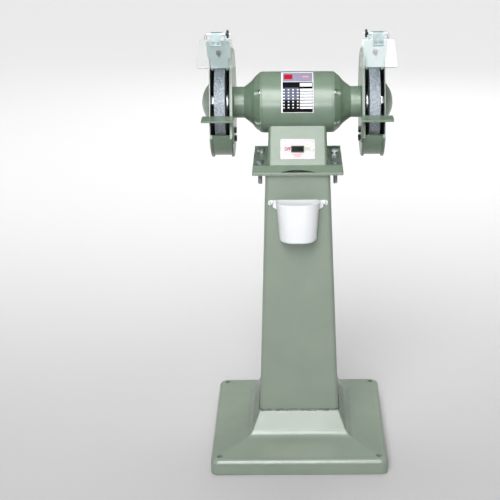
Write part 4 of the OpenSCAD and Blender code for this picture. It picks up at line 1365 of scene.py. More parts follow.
@dataclass
class Bucket:
    """Moulded bucket that hangs on two screws on the column's front.

    Attributes:
        rim_z: Height of its rim.
        top: Width and depth at the rim.
        foot: Width and depth at the bottom.
        height: From the bottom to the rim.
        wall: Its wall.
        front_r: Radius of its upright front corners.
        back_r: Radius of its upright back corners.
        ear_out: How far an ear reaches past the rim.
        ear_thick: Thickness of an ear.
        screw_dx: Between the two screws.
        screw_drop: The screws, down from the rim.
        hook_r: Radius of the slot that hangs on a screw.
    """

    rim_z: float = 671.5
    top: tuple[float, float] = (104.0, 50.0)
    foot: tuple[float, float] = (89.0, 45.0)
    height: float = 97.0
    wall: float = 2.5
    front_r: float = 36.0
    back_r: float = 8.0
    ear_out: float = 19.0
    ear_thick: float = 3.0
    screw_dx: float = 126.0
    screw_drop: float = 6.5
    hook_r: float = 2.8

    def body(self) -> Object:
        """The drafted body with its round front, hollowed.

        Returns:
            The body, with its rim's back edge on the X axis.
        """
        width, depth = self.top
        body = block(
            "water_bucket_moulding", (width, self.height, depth), (0, -self.height / 2, depth / 2),
        )
        with editing(body, Part.FACES):
            pick(body, Part.FACES, lambda f: f.normal.y < -NEARLY)
            taper = (self.foot[0] / width, 1, self.foot[1] / depth)
            bpy.ops.transform.resize(value=taper, center_override=(0, 0, 0))
        front_z, back_z = 20, 3
        round_edges(body, lambda e: fore_and_aft(e) and middle(e).z > front_z, self.front_r, 14)
        round_edges(body, lambda e: fore_and_aft(e) and middle(e).z < back_z, self.back_r, 5)
        round_edges(body, lambda e: middle(e).y < -self.height + 0.1, 4, 4)
        with editing(body, Part.FACES):
            pick(body, Part.FACES, lambda f: f.normal.y > NEARLY)
            bpy.ops.mesh.delete(type="FACE")
        outward(body)
        return apply(body, "SOLIDIFY", thickness=self.wall * MM, offset=-1, use_even_offset=True)

    def ear(self) -> Object:
        """The right hanging ear with its gusset.

        Returns:
            The ear, with its back on the column.
        """
        inner, tip = self.top[0] / 2 - 8, self.top[0] / 2 + self.ear_out
        outline = rounded([
            (inner, -1, 0), (tip - 4, -0.2, 2), (tip, -3, 3),
            (tip, -self.screw_drop - 4, 3), (inner, -self.ear_out - 8, 0),
        ], 4)
        ear = prism("ear", outline, self.ear_thick)
        r = self.hook_r
        notch = [*arc((0, 0), r, 0, 180, 10), (-r, -30), (r, -30)]
        outline = [(self.screw_dx / 2 + x, -self.screw_drop + y) for x, y in notch]
        hook = prism("hook", outline, 10, -2)
        boss = turned("boss", [(2.9, 0), (5.4, 0), (5.4, 3), (2.9, 3)], steps=24)
        boss = place(boss, at(self.screw_dx / 2, -self.screw_drop, 0))
        return combine(Join.CUT, combine(Join.ADD, ear, boss), hook)

    def build(self) -> None:
        """Builds the bucket and its screws."""
        body = self.body()
        ear = self.ear()
        other = mirrored(ear, "ear_left")
        combine(Join.ADD, body, ear, other)
        ease(body, 0.7, 3, angle=50)
        place(body, on_column_front(self.rim_z) @ at(0, 0, 0.3))
        hand_over(body, WHITE_POLYPROPYLENE, "bucket", "water_bucket")
        screw = Fasteners().pan_screw("bucket_screw_pair", 5, 14)
        hang = on_column_front(self.rim_z)
        out = self.ear_thick + 0.6
        spots = [hang @ at(x * self.screw_dx / 2, -self.screw_drop, out) for x in (-1, 1)]
        hand_over(repeat("bucket_screw_pair", screw, spots), ZINC_PLATE, "stand", "bucket_screws")


# ---- the motor foot and switch ----


@dataclass
class MotorFoot:
    """Cast foot: bolting pads, front and rear rims, and the switch box that carries the shell.

    Attributes:
        flange: Width and depth of the foot.
        pad_h: Height of the bolting pads.
        rim_h: Height of the front and rear rims.
        rim_t: Thickness of the rims.
        box_low: Width of the switch box at its foot.
        box_high: Width of the switch box at its top.
        box_top_z: Height of the top of the switch box.
        saddle_r: Radius of the saddle that the shell sits in.
        roof_r: Radius of the saddle's underside.
        wall: The switch box's wall.
        bolt_at: The foot bolts, from the middle along X and Y.
        pocket: Width and height of the opening for the switch.
    """

    flange: tuple[float, float] = (212.0, 166.0)
    pad_h: float = 11.5
    rim_h: float = 17.0
    rim_t: float = 8.0
    box_low: float = 142.0
    box_high: float = 136.0
    box_top_z: float = 858.8
    saddle_r: float = 72.1
    roof_r: float = 78.0
    wall: float = 6.0
    bolt_at: tuple[float, float] = (90.0, 45.0)
    pocket: tuple[float, float] = (28.6, 13.6)

    def box(self, name: str, inset: float) -> Object:
        """The leaning box, drawn in by inset on every side.

        Args:
            name: The piece's name.
            inset: How far it is drawn in.

        Returns:
            The box, closed at both ends.
        """
        low, high = FOOT_Z - (2 if inset else 0), self.box_top_z
        size = (self.box_low - 2 * inset, 2 * (box_face_y(low) - inset), high - low)
        body = block(name, size, (0, 0, (low + high) / 2))
        with editing(body, Part.FACES):
            pick(body, Part.FACES, lambda f: f.normal.z > NEARLY)
            kx = (self.box_high - 2 * inset) / (self.box_low - 2 * inset)
            ky = (box_face_y(high) - inset) / (box_face_y(low) - inset)
            bpy.ops.transform.resize(value=(kx, ky, 1), center_override=(0, 0, 0))
        return round_edges(body, lambda e: abs(along(e).z) > 0.8, 7, 6)

    def arch(self) -> Object:
        """Cutter for the low arched slot through the front rim.

        Returns:
            The cutter.
        """
        half, rise = 41.0, 6.0
        r = (half ** 2 + rise ** 2) / 2 / rise
        span = degrees(asin(half / r))
        curve = arc((0, FOOT_Z + rise - r), r, 90 - span, 90 + span, 24)
        outline = [*curve, (-half, FOOT_Z - 2), (half, FOOT_Z - 2)]
        cutter = prism("arch", outline, self.rim_t + 2)
        return place(cutter, at(0, -self.flange[1] / 2 + self.rim_t + 1, 0) @ turn(90, "X"))

    def casting(self) -> None:
        """The whole foot."""
        width, depth = self.flange
        foot = block(
            "motor_foot_casting", (width, depth, self.pad_h), (0, 0, FOOT_Z + self.pad_h / 2),
        )
        round_edges(foot, upright, 5, 4)
        rims = []
        for y in (-1, 1):
            centre = (0, y * (depth - self.rim_t) / 2, FOOT_Z + self.rim_h / 2)
            rim = block("rim", (width - 0.02, self.rim_t, self.rim_h), centre)
            rims.append(round_edges(rim, upright, 2, 3))
        box = self.box("box", 0)
        limit = block("limit", (self.box_low + 20, depth - 0.04, 300), (0, 0, FOOT_Z + 140))
        combine(Join.KEEP, box, limit)
        combine(Join.ADD, foot, *rims)
        combine(Join.ADD, foot, box)
        boss = place(bar("boss", 15, 12, (0, 0, 0)), at(0, 74, GLAND_Z) @ turn(90, "X"))
        combine(Join.ADD, foot, boss)
        saddle = place(bar("saddle", self.saddle_r, 400, (0, 0, 0), sides=128), ON_SPINDLE)
        combine(Join.CUT, foot, saddle)
        room = self.box("room", self.wall)
        roof = place(bar("roof", self.roof_r, 400, (0, 0, 0), sides=96), ON_SPINDLE)
        combine(Join.CUT, foot, combine(Join.CUT, room, roof))
        combine(Join.CUT, foot, self.arch())
        pocket = place(block("pocket", (*self.pocket, 40), (0, 0, 0)), on_box_front(SWITCH_Z))
        combine(Join.CUT, foot, pocket)
        round_edges(foot, self.is_box_seam, 6, 4)
        ease(foot, 1.0, 3, angle=35)
        hand_over(foot, CASTING_ENAMEL_DARKENED_AS_SHADE, "stand", "motor_foot", angle=32)

    def is_box_seam(self, edge: object) -> bool:
        """Whether an edge runs where the box's ends meet the bolting pads.

        Args:
            edge: An edge of the casting.

        Returns:
            Whether it does.
        """
        p = middle(edge)
        level = abs(p.z - FOOT_Z - self.pad_h) < 0.05
        return level and 60 < abs(p.x) < 74 and abs(p.y) < 75 and abs(along(edge).y) > 0.5

    def bolts(self) -> None:
        """Foot bolts and their washers."""
        top = FOOT_Z + self.pad_h
        spots = [(x * self.bolt_at[0], y * self.bolt_at[1]) for x in (-1, 1) for y in (-1, 1)]
        bolt = Fasteners().hex_bolt("foot_bolt_set", 10, 52, 17, 6.4, 30)
        turns = (12, 41, 3, 25)
        places = [at(x, y, top + 2) @ turn(a, "Z") for (x, y), a in zip(spots, turns)]
        hand_over(
            repeat("foot_bolt_set", bolt, places), ZINC_PLATE, "stand", "foot_bolts", angle=25,
        )
        ring = Fasteners().washer("foot_washer_set", 10, 5.05, 2)
        hand_over(
            repeat("foot_washer_set", ring, [at(x, y, top) for x, y in spots]), ZINC_PLATE,
            "stand", "foot_washers",
        )

    def gland(self) -> None:
        """Nylon cable gland at the rear: hexagon, neck and fluted dome nut."""
        body = Fasteners().hex_head("cable_gland_nylon", 21.6, 6)
        bore = turned(
            "bore_tube",
            [
                (4.5, -12), (8, -12), (8, 6), (10.5, 6), (10.5, 9), (11.5, 9.6),
                *fillet((11.5, 9.6), (10.4, 20), (4.5, 20), 3, 5), (4.5, 20),
            ],
            steps=48,
        )
        core = bar("core", 4.5, 60, (0, 0, 0))
        combine(Join.ADD, body, bore)
        combine(Join.CUT, body, core)
        flutes = [
            place(bar("flute", 0.9, 9, (11.7, 0, 14), sides=12), turn(i * 30, "Z"))
            for i in range(12)
        ]
        combine(Join.CUT, body, gather("flutes", flutes))
        place(body, at(0, 80, GLAND_Z) @ turn(-90, "X"))
        hand_over(body, BLACK_PLASTIC, "stand", "cable_gland", angle=30)

    def build(self) -> None:
        """Builds the foot with what is bolted to it."""
        self.casting()
        self.bolts()
        self.gland()


@dataclass
class Switch:
    """Rocker switch on its white plate, on the front of the box.

    Attributes:
        centre_z: Height of its middle.
        plate: Width, height and thickness of the white plate.
        bezel: Width, height and thickness of the switch's rim.
        rocker: Width and height of the rocker.
        tilt: How far the rocker is tipped.
        ink_z: Height of the ink's middle above the plate.
        letter_h: Size of the letters.
        rule_h: Height of the printed rules.
    """

    centre_z: float = SWITCH_Z
    plate: tuple[float, float, float] = (82.0, 48.0, 1.5)
    bezel: tuple[float, float, float] = (31.0, 16.0, 2.0)
    rocker: tuple[float, float] = (24.6, 10.0)
    tilt: float = 8.0
    ink_z: float = 0.04
    letter_h: float = 8.2
    rule_h: float = 2.6

    def face(self) -> Matrix:
        """The plate's own frame."""
        return on_box_front(self.centre_z)

    def backing(self) -> None:
        """The enamelled plate and its two screws."""
        w, h, t = self.plate
        plate = block("switch_backing_plate", (w, h, t), (0, 0, t / 2))
        round_edges(plate, upright, 4, 5)
        combine(Join.CUT, plate, block("window", (28.5, 13.5, 10), (0, 0, 0)))
        place(ease(plate, 0.35, 2), self.face())
        hand_over(plate, WHITE_ENAMEL, "stand", "switch_plate")
        screw = Fasteners().pan_screw("switch_plate_screw_pair", 4, 10)
        spots = [self.face() @ at(x * 34, 0, t) for x in (-1, 1)]
        hand_over(
            repeat("switch_plate_screw_pair", screw, spots), ZINC_PLATE, "stand",
            "switch_plate_screws",
        )

    def word(self, text: str, x: float, finish: Finish, name: str) -> None:
        """One printed word beside the rocker, raised like ink.

        Args:
            text: What it says.
            x: Its middle, from the rocker's middle.
            finish: Its ink.
            name: The piece's name.
        """
        bpy.ops.object.select_all(action="DESELECT")
        bpy.ops.object.text_add()
        letters = bpy.context.active_object
        letters.data.body = text
        letters.data.size = self.letter_h * MM
        letters.data.offset = 0.24 * MM
        letters.data.align_x = "CENTER"
        letters.data.align_y = "CENTER"
        letters.data.extrude = 0.06 * MM
        bpy.ops.object.convert(target="MESH")
        letters = bpy.context.active_object
        letters.name = letters.data.name = name
        taller = Matrix.Scale(1.25, 4, (0, 1, 0))
        place(letters, self.face() @ at(x, 0, self.plate[2] + self.ink_z) @ taller)
        hand_over(outward(letters), finish, "stand", angle=30)

    def print_marks(self) -> None:
        """OFF, ON and two red rules under the rocker."""
        self.word("OFF", -23.4, RED_INK, "switch_word_off")
        self.word("ON", 23.4, GREEN_INK, "switch_word_on")
        for name, wide, down in (("switch_rule_upper", 20, 12.8), ("switch_rule_lower", 14, 17.2)):
            middle_at = (0, -down, self.plate[2] + self.ink_z)
            rule = block(name, (wide, self.rule_h, 0.12), middle_at)
            round_edges(rule, upright, 1.0, 4)
            place(rule, self.face())
            hand_over(rule, PINK_INK, "stand")

    def body(self) -> None:
        """The bezel and the body behind it, with the rocker's well."""
        w, h, t = self.bezel
        back = self.plate[2]
        body = block("switch_body_bezel", (w, h, t), (0, 0, back + t / 2))
        with editing(body, Part.FACES):
            pick(body, Part.FACES, lambda f: f.normal.z < -NEARLY)
            bpy.ops.transform.resize(
                value=((w - 3) / w, (h - 3) / h, 1), center_override=(0, 0, back * MM),
            )
            bpy.ops.mesh.extrude_region_move(TRANSFORM_OT_translate={"value": metres(0, 0, -22)})
            pick(body, Part.FACES, lambda f: f.normal.z > NEARLY)
            bpy.ops.mesh.inset(thickness=2.3 * MM)
            bpy.ops.mesh.extrude_region_move(TRANSFORM_OT_translate={"value": metres(0, 0, -8)})
        place(ease(body, 0.4, 2), self.face())
        hand_over(body, BLACK_PLASTIC, "stand", "switch_body")

    def button(self) -> None:
        """The rocker, tipped to OFF."""
        w, h = self.rocker
        outline = [
            (-w / 2, -4), (w / 2, -4), (w / 2, 3.2), *arc((0, 1.8), 0.01, 0, 180, 2), (-w / 2, 3.2),
        ]
        rocker = place(prism("switch_rocker_button", outline, h, -h / 2), turn(90, "X"))
        ease(rocker, 0.5, 3, angle=20)
        pivot = self.plate[2] + self.bezel[2] + 0.6 - 2
        place(rocker, self.face() @ at(0, 0, pivot) @ turn(-self.tilt, "Y"))
        hand_over(rocker, ROCKER_PLASTIC, "rocker", "switch_rocker")

    def build(self) -> None:
        """Builds the switch."""
        self.backing()
        self.print_marks()
        self.body()
        self.button()


# ---- the motor ----


@dataclass
class Motor:
    """Shell, end shields and rating plate.

    Attributes:
        shell_r: Radius of the shell.
        shell_half: Half the shell's length.
        neck_r: Radius of an end shield's neck.
        neck_end: The neck's end along X.
        collar: How far the collar reaches past the neck's end.
        screw_r: Radius of the ring that the shield screws stand on.
        screw_angle: Angle of those screws above and below the horizontal.
        row_pitch: From one row of the rating plate to the next, as an angle.
        column_pitch: From one column of the rating plate to the next.
    """

    shell_r: float = 72.0
    shell_half: float = 82.6
    neck_r: float = 36.7
    neck_end: float = 148.0
    collar: float = 3.0
    screw_r: float = 66.0
    screw_angle: float = 33.0
    row_pitch: float = 5.55
    column_pitch: float = 10.7

    def shell(self) -> None:
        """The turned shell with a broken corner at each end."""
        r, x = self.shell_r, self.shell_half
        broken = 0.7
        tube = turned("motor_shell_casting", [
            (60, -x), (r - broken, -x), (r, -x + broken), (r, x - broken), (r - broken, x), (60, x),
        ], steps=160)
        hand_over(place(tube, ON_SPINDLE), CASTING_ENAMEL_DARKENED_AS_SHADE, "stand", "motor_shell")

    def shields(self) -> None:
        """The two end shields, each with four screw pockets."""
        r, x, n = self.shell_r, self.shell_half, self.neck_r
        end, tip = self.neck_end, self.neck_end + self.collar
        profile = [
            (54, x - 4.6), (59.98, x - 4.6), (59.98, x + 0.3), (r - 0.6, x + 0.3),
            *fillet((r - 0.6, x + 0.3), (r - 0.6, x + 4), (n + 2, end - 25), 4, 6),
            *fillet((r, x + 10), (r * 0.72, x + 23), (n + 1, end - 24), 60, 8),
            *fillet((r * 0.72, x + 23), (n, end - 22.5), (n, end), 4, 6),
            # the neck's open end and its collar
            (n, end), (20, end), (20, tip), (14.5, tip), (14.5, 134),
            # the bearing's seat, bored from inside, and the dished inner face
            (21.5, 134), (21.5, 132), (23.5, 132), (23.5, 113),
            (n - 5, 113), (n - 3, 115), (r * 0.62, x + 19), (54, x + 3),
        ]
        shield = turned("end_shield_casting_right", profile, steps=128)
        place(shield, ON_SPINDLE)
        angles = [
            self.screw_angle, -self.screw_angle, 180 - self.screw_angle, 180 + self.screw_angle,
        ]
        pockets = []
        floor_x = x + 4.4
        for angle in angles:
            pocket = bar("pocket", 7.5, 30, (0, 0, 15), sides=32)
            pockets.append(place(pocket, round_spindle(self.screw_r, angle, floor_x)))
        combine(Join.CUT, shield, *pockets)
        ease(shield, 0.6, 2, angle=40)
        hand_over_pair(shield, "end_shield_casting", CASTING_ENAMEL_DARKENED_AS_SHADE, "stand", "end_shield")
        screw = Fasteners().pan_screw("shield_screw_ring", 5, 22)
        right = [round_spindle(self.screw_r, angle, floor_x) for angle in angles]
        hand_over(
            repeat("shield_screw_ring", screw, both_sides(right)), ZINC_PLATE, "stand",
            "end_shield_screws",
        )

    def panel(
        self, name: str, finish: Finish, wide: Point, high: Point, lift: float, thick: float = 0.05,
    ) -> None:
        """One printed panel wrapped on the shell.

        Args:
            name: The panel's name.
            finish: Its ink.
            wide: Where it starts and ends along X.
            high: Its lower and upper angle above the front horizontal.
            lift: How far above the rating plate's back it lies.
            thick: Its own thickness.
        """
        r = self.shell_r + lift
        section = [(r, wide[0]), (r + thick, wide[0]), (r + thick, wide[1]), (r, wide[1])]
        strip = turned(name, section, high[1] - high[0], 24)
        place(strip, ON_SPINDLE @ turn(270 - high[1], "Z"))
        hand_over(strip, finish, "stand", angle=30)

    def rating_plate(self) -> None:
        """An unlettered rating plate: a pale heading, ruled cells and a white border."""
        r = self.shell_r
        half, thick = 37.25, 0.6
        section = [(r, -half), (r + thick, -half), (r + thick, half), (r, half)]
        back = turned("rating_plate_sheet", section, 92, 60)
        place(back, ON_SPINDLE @ turn(270 - 86, "Z"))
        hand_over(back, WHITE_INK, "stand", "rating_plate", angle=30)
        low, high = 0.61, 0.67
        self.panel("rating_heading", LILAC_INK, (-34.2, 35.8), (54.5, 82.5), low)
        self.panel("rating_red_block", RED_INK, (-31, -11), (60.3, 75.5), high)
        self.panel("rating_faded_bar", PINK_INK, (12, 27), (66, 70), high)
        self.panel("rating_table", BLACK_INK, (-34.2, 35.8), (-5, 53.5), low)
        self.panel("rating_upper_cells", GREY_INK, (-33.6, 4.2), (17.6, 41), high)
        self.panel("rating_title", WHITE_INK, (6, 33.5), (43.6, 51), high)
        for row in range(7):
            mid = 36.9 - row * self.row_pitch
            self.panel(f"rating_line_{row}", WHITE_INK, (6, 35), (mid - 1.9, mid + 1.9), high)
            for column in range(4):
                left = -32.8 + column * self.column_pitch
                cell, rise = (left, left + 3.4), (mid - 1.05, mid + 1.05)
                self.panel(f"rating_cell_{row}_{column}", WHITE_INK, cell, rise, high + 0.06)

    def build(self) -> None:
        """Builds the motor's outside."""
        self.shell()
        self.shields()
        self.rating_plate()


# ---- wheels and guards ----


@dataclass
class Wheels:
    """Grinding wheels and the nuts that clamp them.

    Attributes:
        radius: Radius of a wheel.
        inner_x: Its inner face along X.
        width: Its width.
        bore: Radius of its bore.
        nut_across: Width of a spindle nut across flats.
        nut_h: Height of a spindle nut.
        nut_x: The nut's seat along X.
        nut_bore: Radius of the nut's bore.
    """

    radius: float = 100.0
    inner_x: float = 166.5
    width: float = 25.0
    bore: float = 16.0
    nut_across: float = 30.0
    nut_h: float = 10.0
    nut_x: float = 196.7
    nut_bore: float = 10.02

    def wheel(self) -> None:
        """Both wheels, with their dressed faces and broken corners."""
        r, low, high = self.radius, self.inner_x, self.inner_x + self.width
        profile = [
            (self.bore, low), (r - 1, low), (r, low + 1), (r, high - 1), (r - 1, high),
            (self.bore, high),
        ]
        wheel = place(turned("grinding_wheel_disc_right", profile, steps=160), ON_SPINDLE)
        hand_over_pair(wheel, "grinding_wheel_disc", GREY_OXIDE, "rotor", "grinding_wheel", 30)

    def nuts(self) -> None:
        """Both spindle nuts, chamfered on their outer faces."""
        nut = Fasteners().hex_head("spindle_nut_hexagon_right", self.nut_across, self.nut_h)
        combine(Join.CUT, nut, bar("bore", self.nut_bore, 40, (0, 0, 0)))
        place(nut, at(0, 0, SPINDLE_Z) @ turn(90, "Y") @ at(0, 0, self.nut_x))
        hand_over_pair(nut, "spindle_nut_hexagon", ZINC_PLATE, "rotor", "spindle_nut", 25)

    def build(self) -> None:
        """Builds the wheels."""
        self.wheel()
        self.nuts()


@dataclass
class Guards:
    """Cast wheel guards with bolted covers, open towards the operator.

    Attributes:
        wall_r: Radius of the guard.
        wall_x: The inner wall's near face along X.
        wall: The inner wall.
        hub: Inner and outer radius of the hub that meets the motor's neck.
        hub_x: The hub's near face along X.
        band_r: Outer radius of the band round the wheel.
        band_t: The band's wall.
        end_x: The casting's far face along X, under the cover.
        cover_t: The cover's sheet.
        dome_r: Radius of the cover's dome at its foot.
        dome_h: Height of the dome.
        lug_half: Half the width of the lug that holds the deflector.
        opening_half: Half the angle of the opening.
        opening_mid: The opening's middle, as an angle above the horizontal.
        boss_r: Radius of the ring that the cover screws stand on.
        boss_angles: Their angles above the front horizontal.
    """

    wall_r: float = 129.0
    wall_x: float = 150.0
    wall: float = 6.0
    hub: tuple[float, float] = (20.1, 37.7)
    hub_x: float = 148.0
    band_r: float = 124.5
    band_t: float = 5.0
    end_x: float = 201.0
    cover_t: float = 2.0
    dome_r: float = 50.0
    dome_h: float = 23.0
    lug_half: float = 13.0
    opening_half: float = 45.0
    opening_mid: float = 20.0
    boss_r: float = 115.0
    boss_angles: tuple[float, float, float] = (110.0, 200.0, 280.0)

    def chord(self) -> Object:
        """Cutter for everything in front of the opening's chord.

        Returns:
            The cutter.
        """
        reach = (self.band_r + 1) * cos(radians(self.opening_half))
        cutter = block("chord", (120, 150, 300), (190, -reach - 75, 0))
        return place(cutter, at(0, 0, SPINDLE_Z) @ turn(-self.opening_mid, "X"))

    def casting(self) -> None:
        """Inner wall, band, outer rim, lug and cover bosses, for both sides."""
        r, x, far = self.wall_r, self.wall_x, self.wall_x + self.wall
        (bore, hub), near = self.hub, self.hub_x
        wall = turned("guard_casting_shell_right", [
            (bore, near), (hub, near), *fillet((hub, near), (hub, x), (r, x), 1.6, 3),
            *fillet((37, x), (r, x), (r, far), 4, 5),
            *fillet((r, x), (r, far), (20, far), 1.2, 3), (bore, far),
        ], steps=144)
        end, rim_x = self.end_x, self.end_x - 4
        rim = turned("rim", [
            (self.band_r - 2, rim_x), *fillet((r - 9, rim_x), (r, rim_x), (r, end), 1.4, 3),
            (r, end), (self.band_r - 2, end),
        ], steps=144)
        place(wall, ON_SPINDLE)
        place(rim, ON_SPINDLE)
        combine(Join.CUT, wall, self.chord())
        combine(Join.CUT, rim, self.chord())
        inner = self.band_r - self.band_t
        outer, low = self.band_r, x + 3
        band = turned("band", [(inner, low), (outer, low), (outer, end), (inner, end)], 270, 108)
        place(band, ON_SPINDLE @ turn(295, "Z"))
        combine(Join.ADD, wall, band)
        combine(Join.ADD, wall, rim)
        left, right = WHEEL_MID_X - self.lug_half, WHEEL_MID_X + self.lug_half
        outline = rounded([
            (left, inner + 1, 0), (right, inner + 1, 0), (right, 160, 6), (left, 160, 6),
        ], 5)
        lug = place(prism("lug", outline, 8, -8), ON_OPENING)
        combine(Join.ADD, wall, lug)
        for angle in self.boss_angles:
            boss = bar("boss", 6, 16, (0, 0, -8), sides=32)
            combine(Join.ADD, wall, place(boss, round_spindle(self.boss_r, angle, self.end_x)))
        ease(wall, 0.9, 2, angle=40)
        hand_over_pair(wall, "guard_casting_shell", CASTING_ENAMEL_DARKENED_AS_SHADE, "stand", "guard_casting")

    def covers(self) -> None:
        """Spun sheet covers, domed over the nuts, with their screws."""
        ball = (self.dome_r ** 2 + self.dome_h ** 2) / 2 / self.dome_h
        face = self.end_x + self.cover_t
        centre = face + self.dome_h - ball
        outer_stop = degrees(asin((face - centre) / ball))
        inner_stop = degrees(asin((self.end_x - centre) / (ball - self.cover_t)))
        outside = arc((0, centre), ball, 90, outer_stop, 14)
        inside = arc((0, centre), ball - self.cover_t, inner_stop, 90, 14)
        neck = fillet(outside[-2], outside[-1], (self.wall_r, face), 3, 4)
        profile = [
            (0, outside[0][1]), *outside[1:-1], *neck,
            (self.wall_r - 0.5, face), (self.wall_r, face - 0.5), (self.wall_r, self.end_x),
            *inside[:-1], (0, inside[-1][1]),
        ]
        cover = place(turned("guard_cover_spinning_right", profile, steps=144), ON_SPINDLE)
        combine(Join.CUT, cover, self.chord())
        hand_over_pair(cover, "guard_cover_spinning", PRESSED_ENAMEL, "stand", "guard_cover")
        screw = Fasteners().pan_screw("cover_screw_ring", 5, 12)
        right = [round_spindle(self.boss_r, angle, face) for angle in self.boss_angles]
        hand_over(
            repeat("cover_screw_ring", screw, both_sides(right)), ZINC_PLATE, "stand",
            "guard_cover_screws",
        )

    def build(self) -> None:
        """Builds both guards."""
        self.casting()
        self.covers()


# ---- tool rests ----


@dataclass
class ToolRests:
    """Angle rests that slide on two bolts inside each guard.

    Attributes:
        inner_x: A rest's inner face along X.
        width: The table's width.
        depth: The table's depth.
        thick: The table's thickness.
        top_z: Height of the table's top.
        back_y: The table's back edge along Y, by the wheel.
        arm_t: The arm's thickness.
        bolt_y: The bolts along Y.
        bolt_z: Heights of the two bolts.
        slot_r: Radius of the ends of the slots they pass through.
    """

    inner_x: float = 145.7
    width: float = 73.7
    depth: float = 39.8
    thick: float = 5.0
    top_z: float = 883.0
    back_y: float = -102.2
    arm_t: float = 4.0
    bolt_y: float = -100.0
    bolt_z: tuple[float, float] = (850.0, 830.0)
    slot_r: float = 4.3

    def rest(self) -> None:
        """The table and its arm, with the slots it slides on."""
        front = self.back_y - self.depth
        mid_x, mid_y = self.inner_x + self.width / 2, (front + self.back_y) / 2
        size = (self.width, self.depth, self.thick)
        centre = (mid_x, mid_y, self.top_z - self.thick / 2)
        table = block("tool_rest_table_right", size, centre)
        round_edges(table, lambda e: upright(e) and middle(e).x > 200, 3, 4)
        under_z, foot_z = self.top_z - self.thick, self.bolt_z[1] - 10
        outline = rounded([
            (front, self.top_z, 3), (self.back_y, self.top_z, 0), (self.back_y + 6, under_z - 8, 6),
            (-70, self.bolt_z[0] + 12, 6), (-70, foot_z, 6), (-114, foot_z, 6),
            (front + 6, under_z - 12, 12),
        ], 6)
        arm = prism("arm", outline, self.arm_t)
        place(arm, at(self.inner_x, 0, 0) @ SIDEWAYS)
        combine(Join.ADD, table, arm)
        for z in self.bolt_z:
            ends = [
                *arc((self.bolt_y + 16, z), self.slot_r, -90, 90, 10),
                *arc((self.bolt_y - 1.5, z), self.slot_r, 90, 270, 10),
            ]
            slot = place(prism("slot", ends, 12, -4), at(self.inner_x, 0, 0) @ SIDEWAYS)
            combine(Join.CUT, table, slot)
        ease(table, 0.8, 2, angle=40)
        hand_over_pair(table, "tool_rest_table", CASTING_ENAMEL_DARKENED_AS_SHADE, "rest_{side}", "tool_rest")

    def bolts(self) -> None:
        """The four bolts that clamp the rests."""
        bolt = Fasteners().hex_bolt("rest_bolt_set", 8, 11, 13, 5.3, 9)
        right = [
            at(self.inner_x - 0.3, self.bolt_y, z) @ turn(-90, "Y") @ turn(a, "Z")
            for z, a in zip(self.bolt_z, (8, 33))
        ]
        hand_over(
            repeat("rest_bolt_set", bolt, both_sides(right)), BLACKENED_STEEL, "stand",
            "rest_bolts", angle=25,
        )

    def build(self) -> None:
        """Builds both rests."""
        self.rest()
        self.bolts()


# ---- spark deflectors and eye shields ----


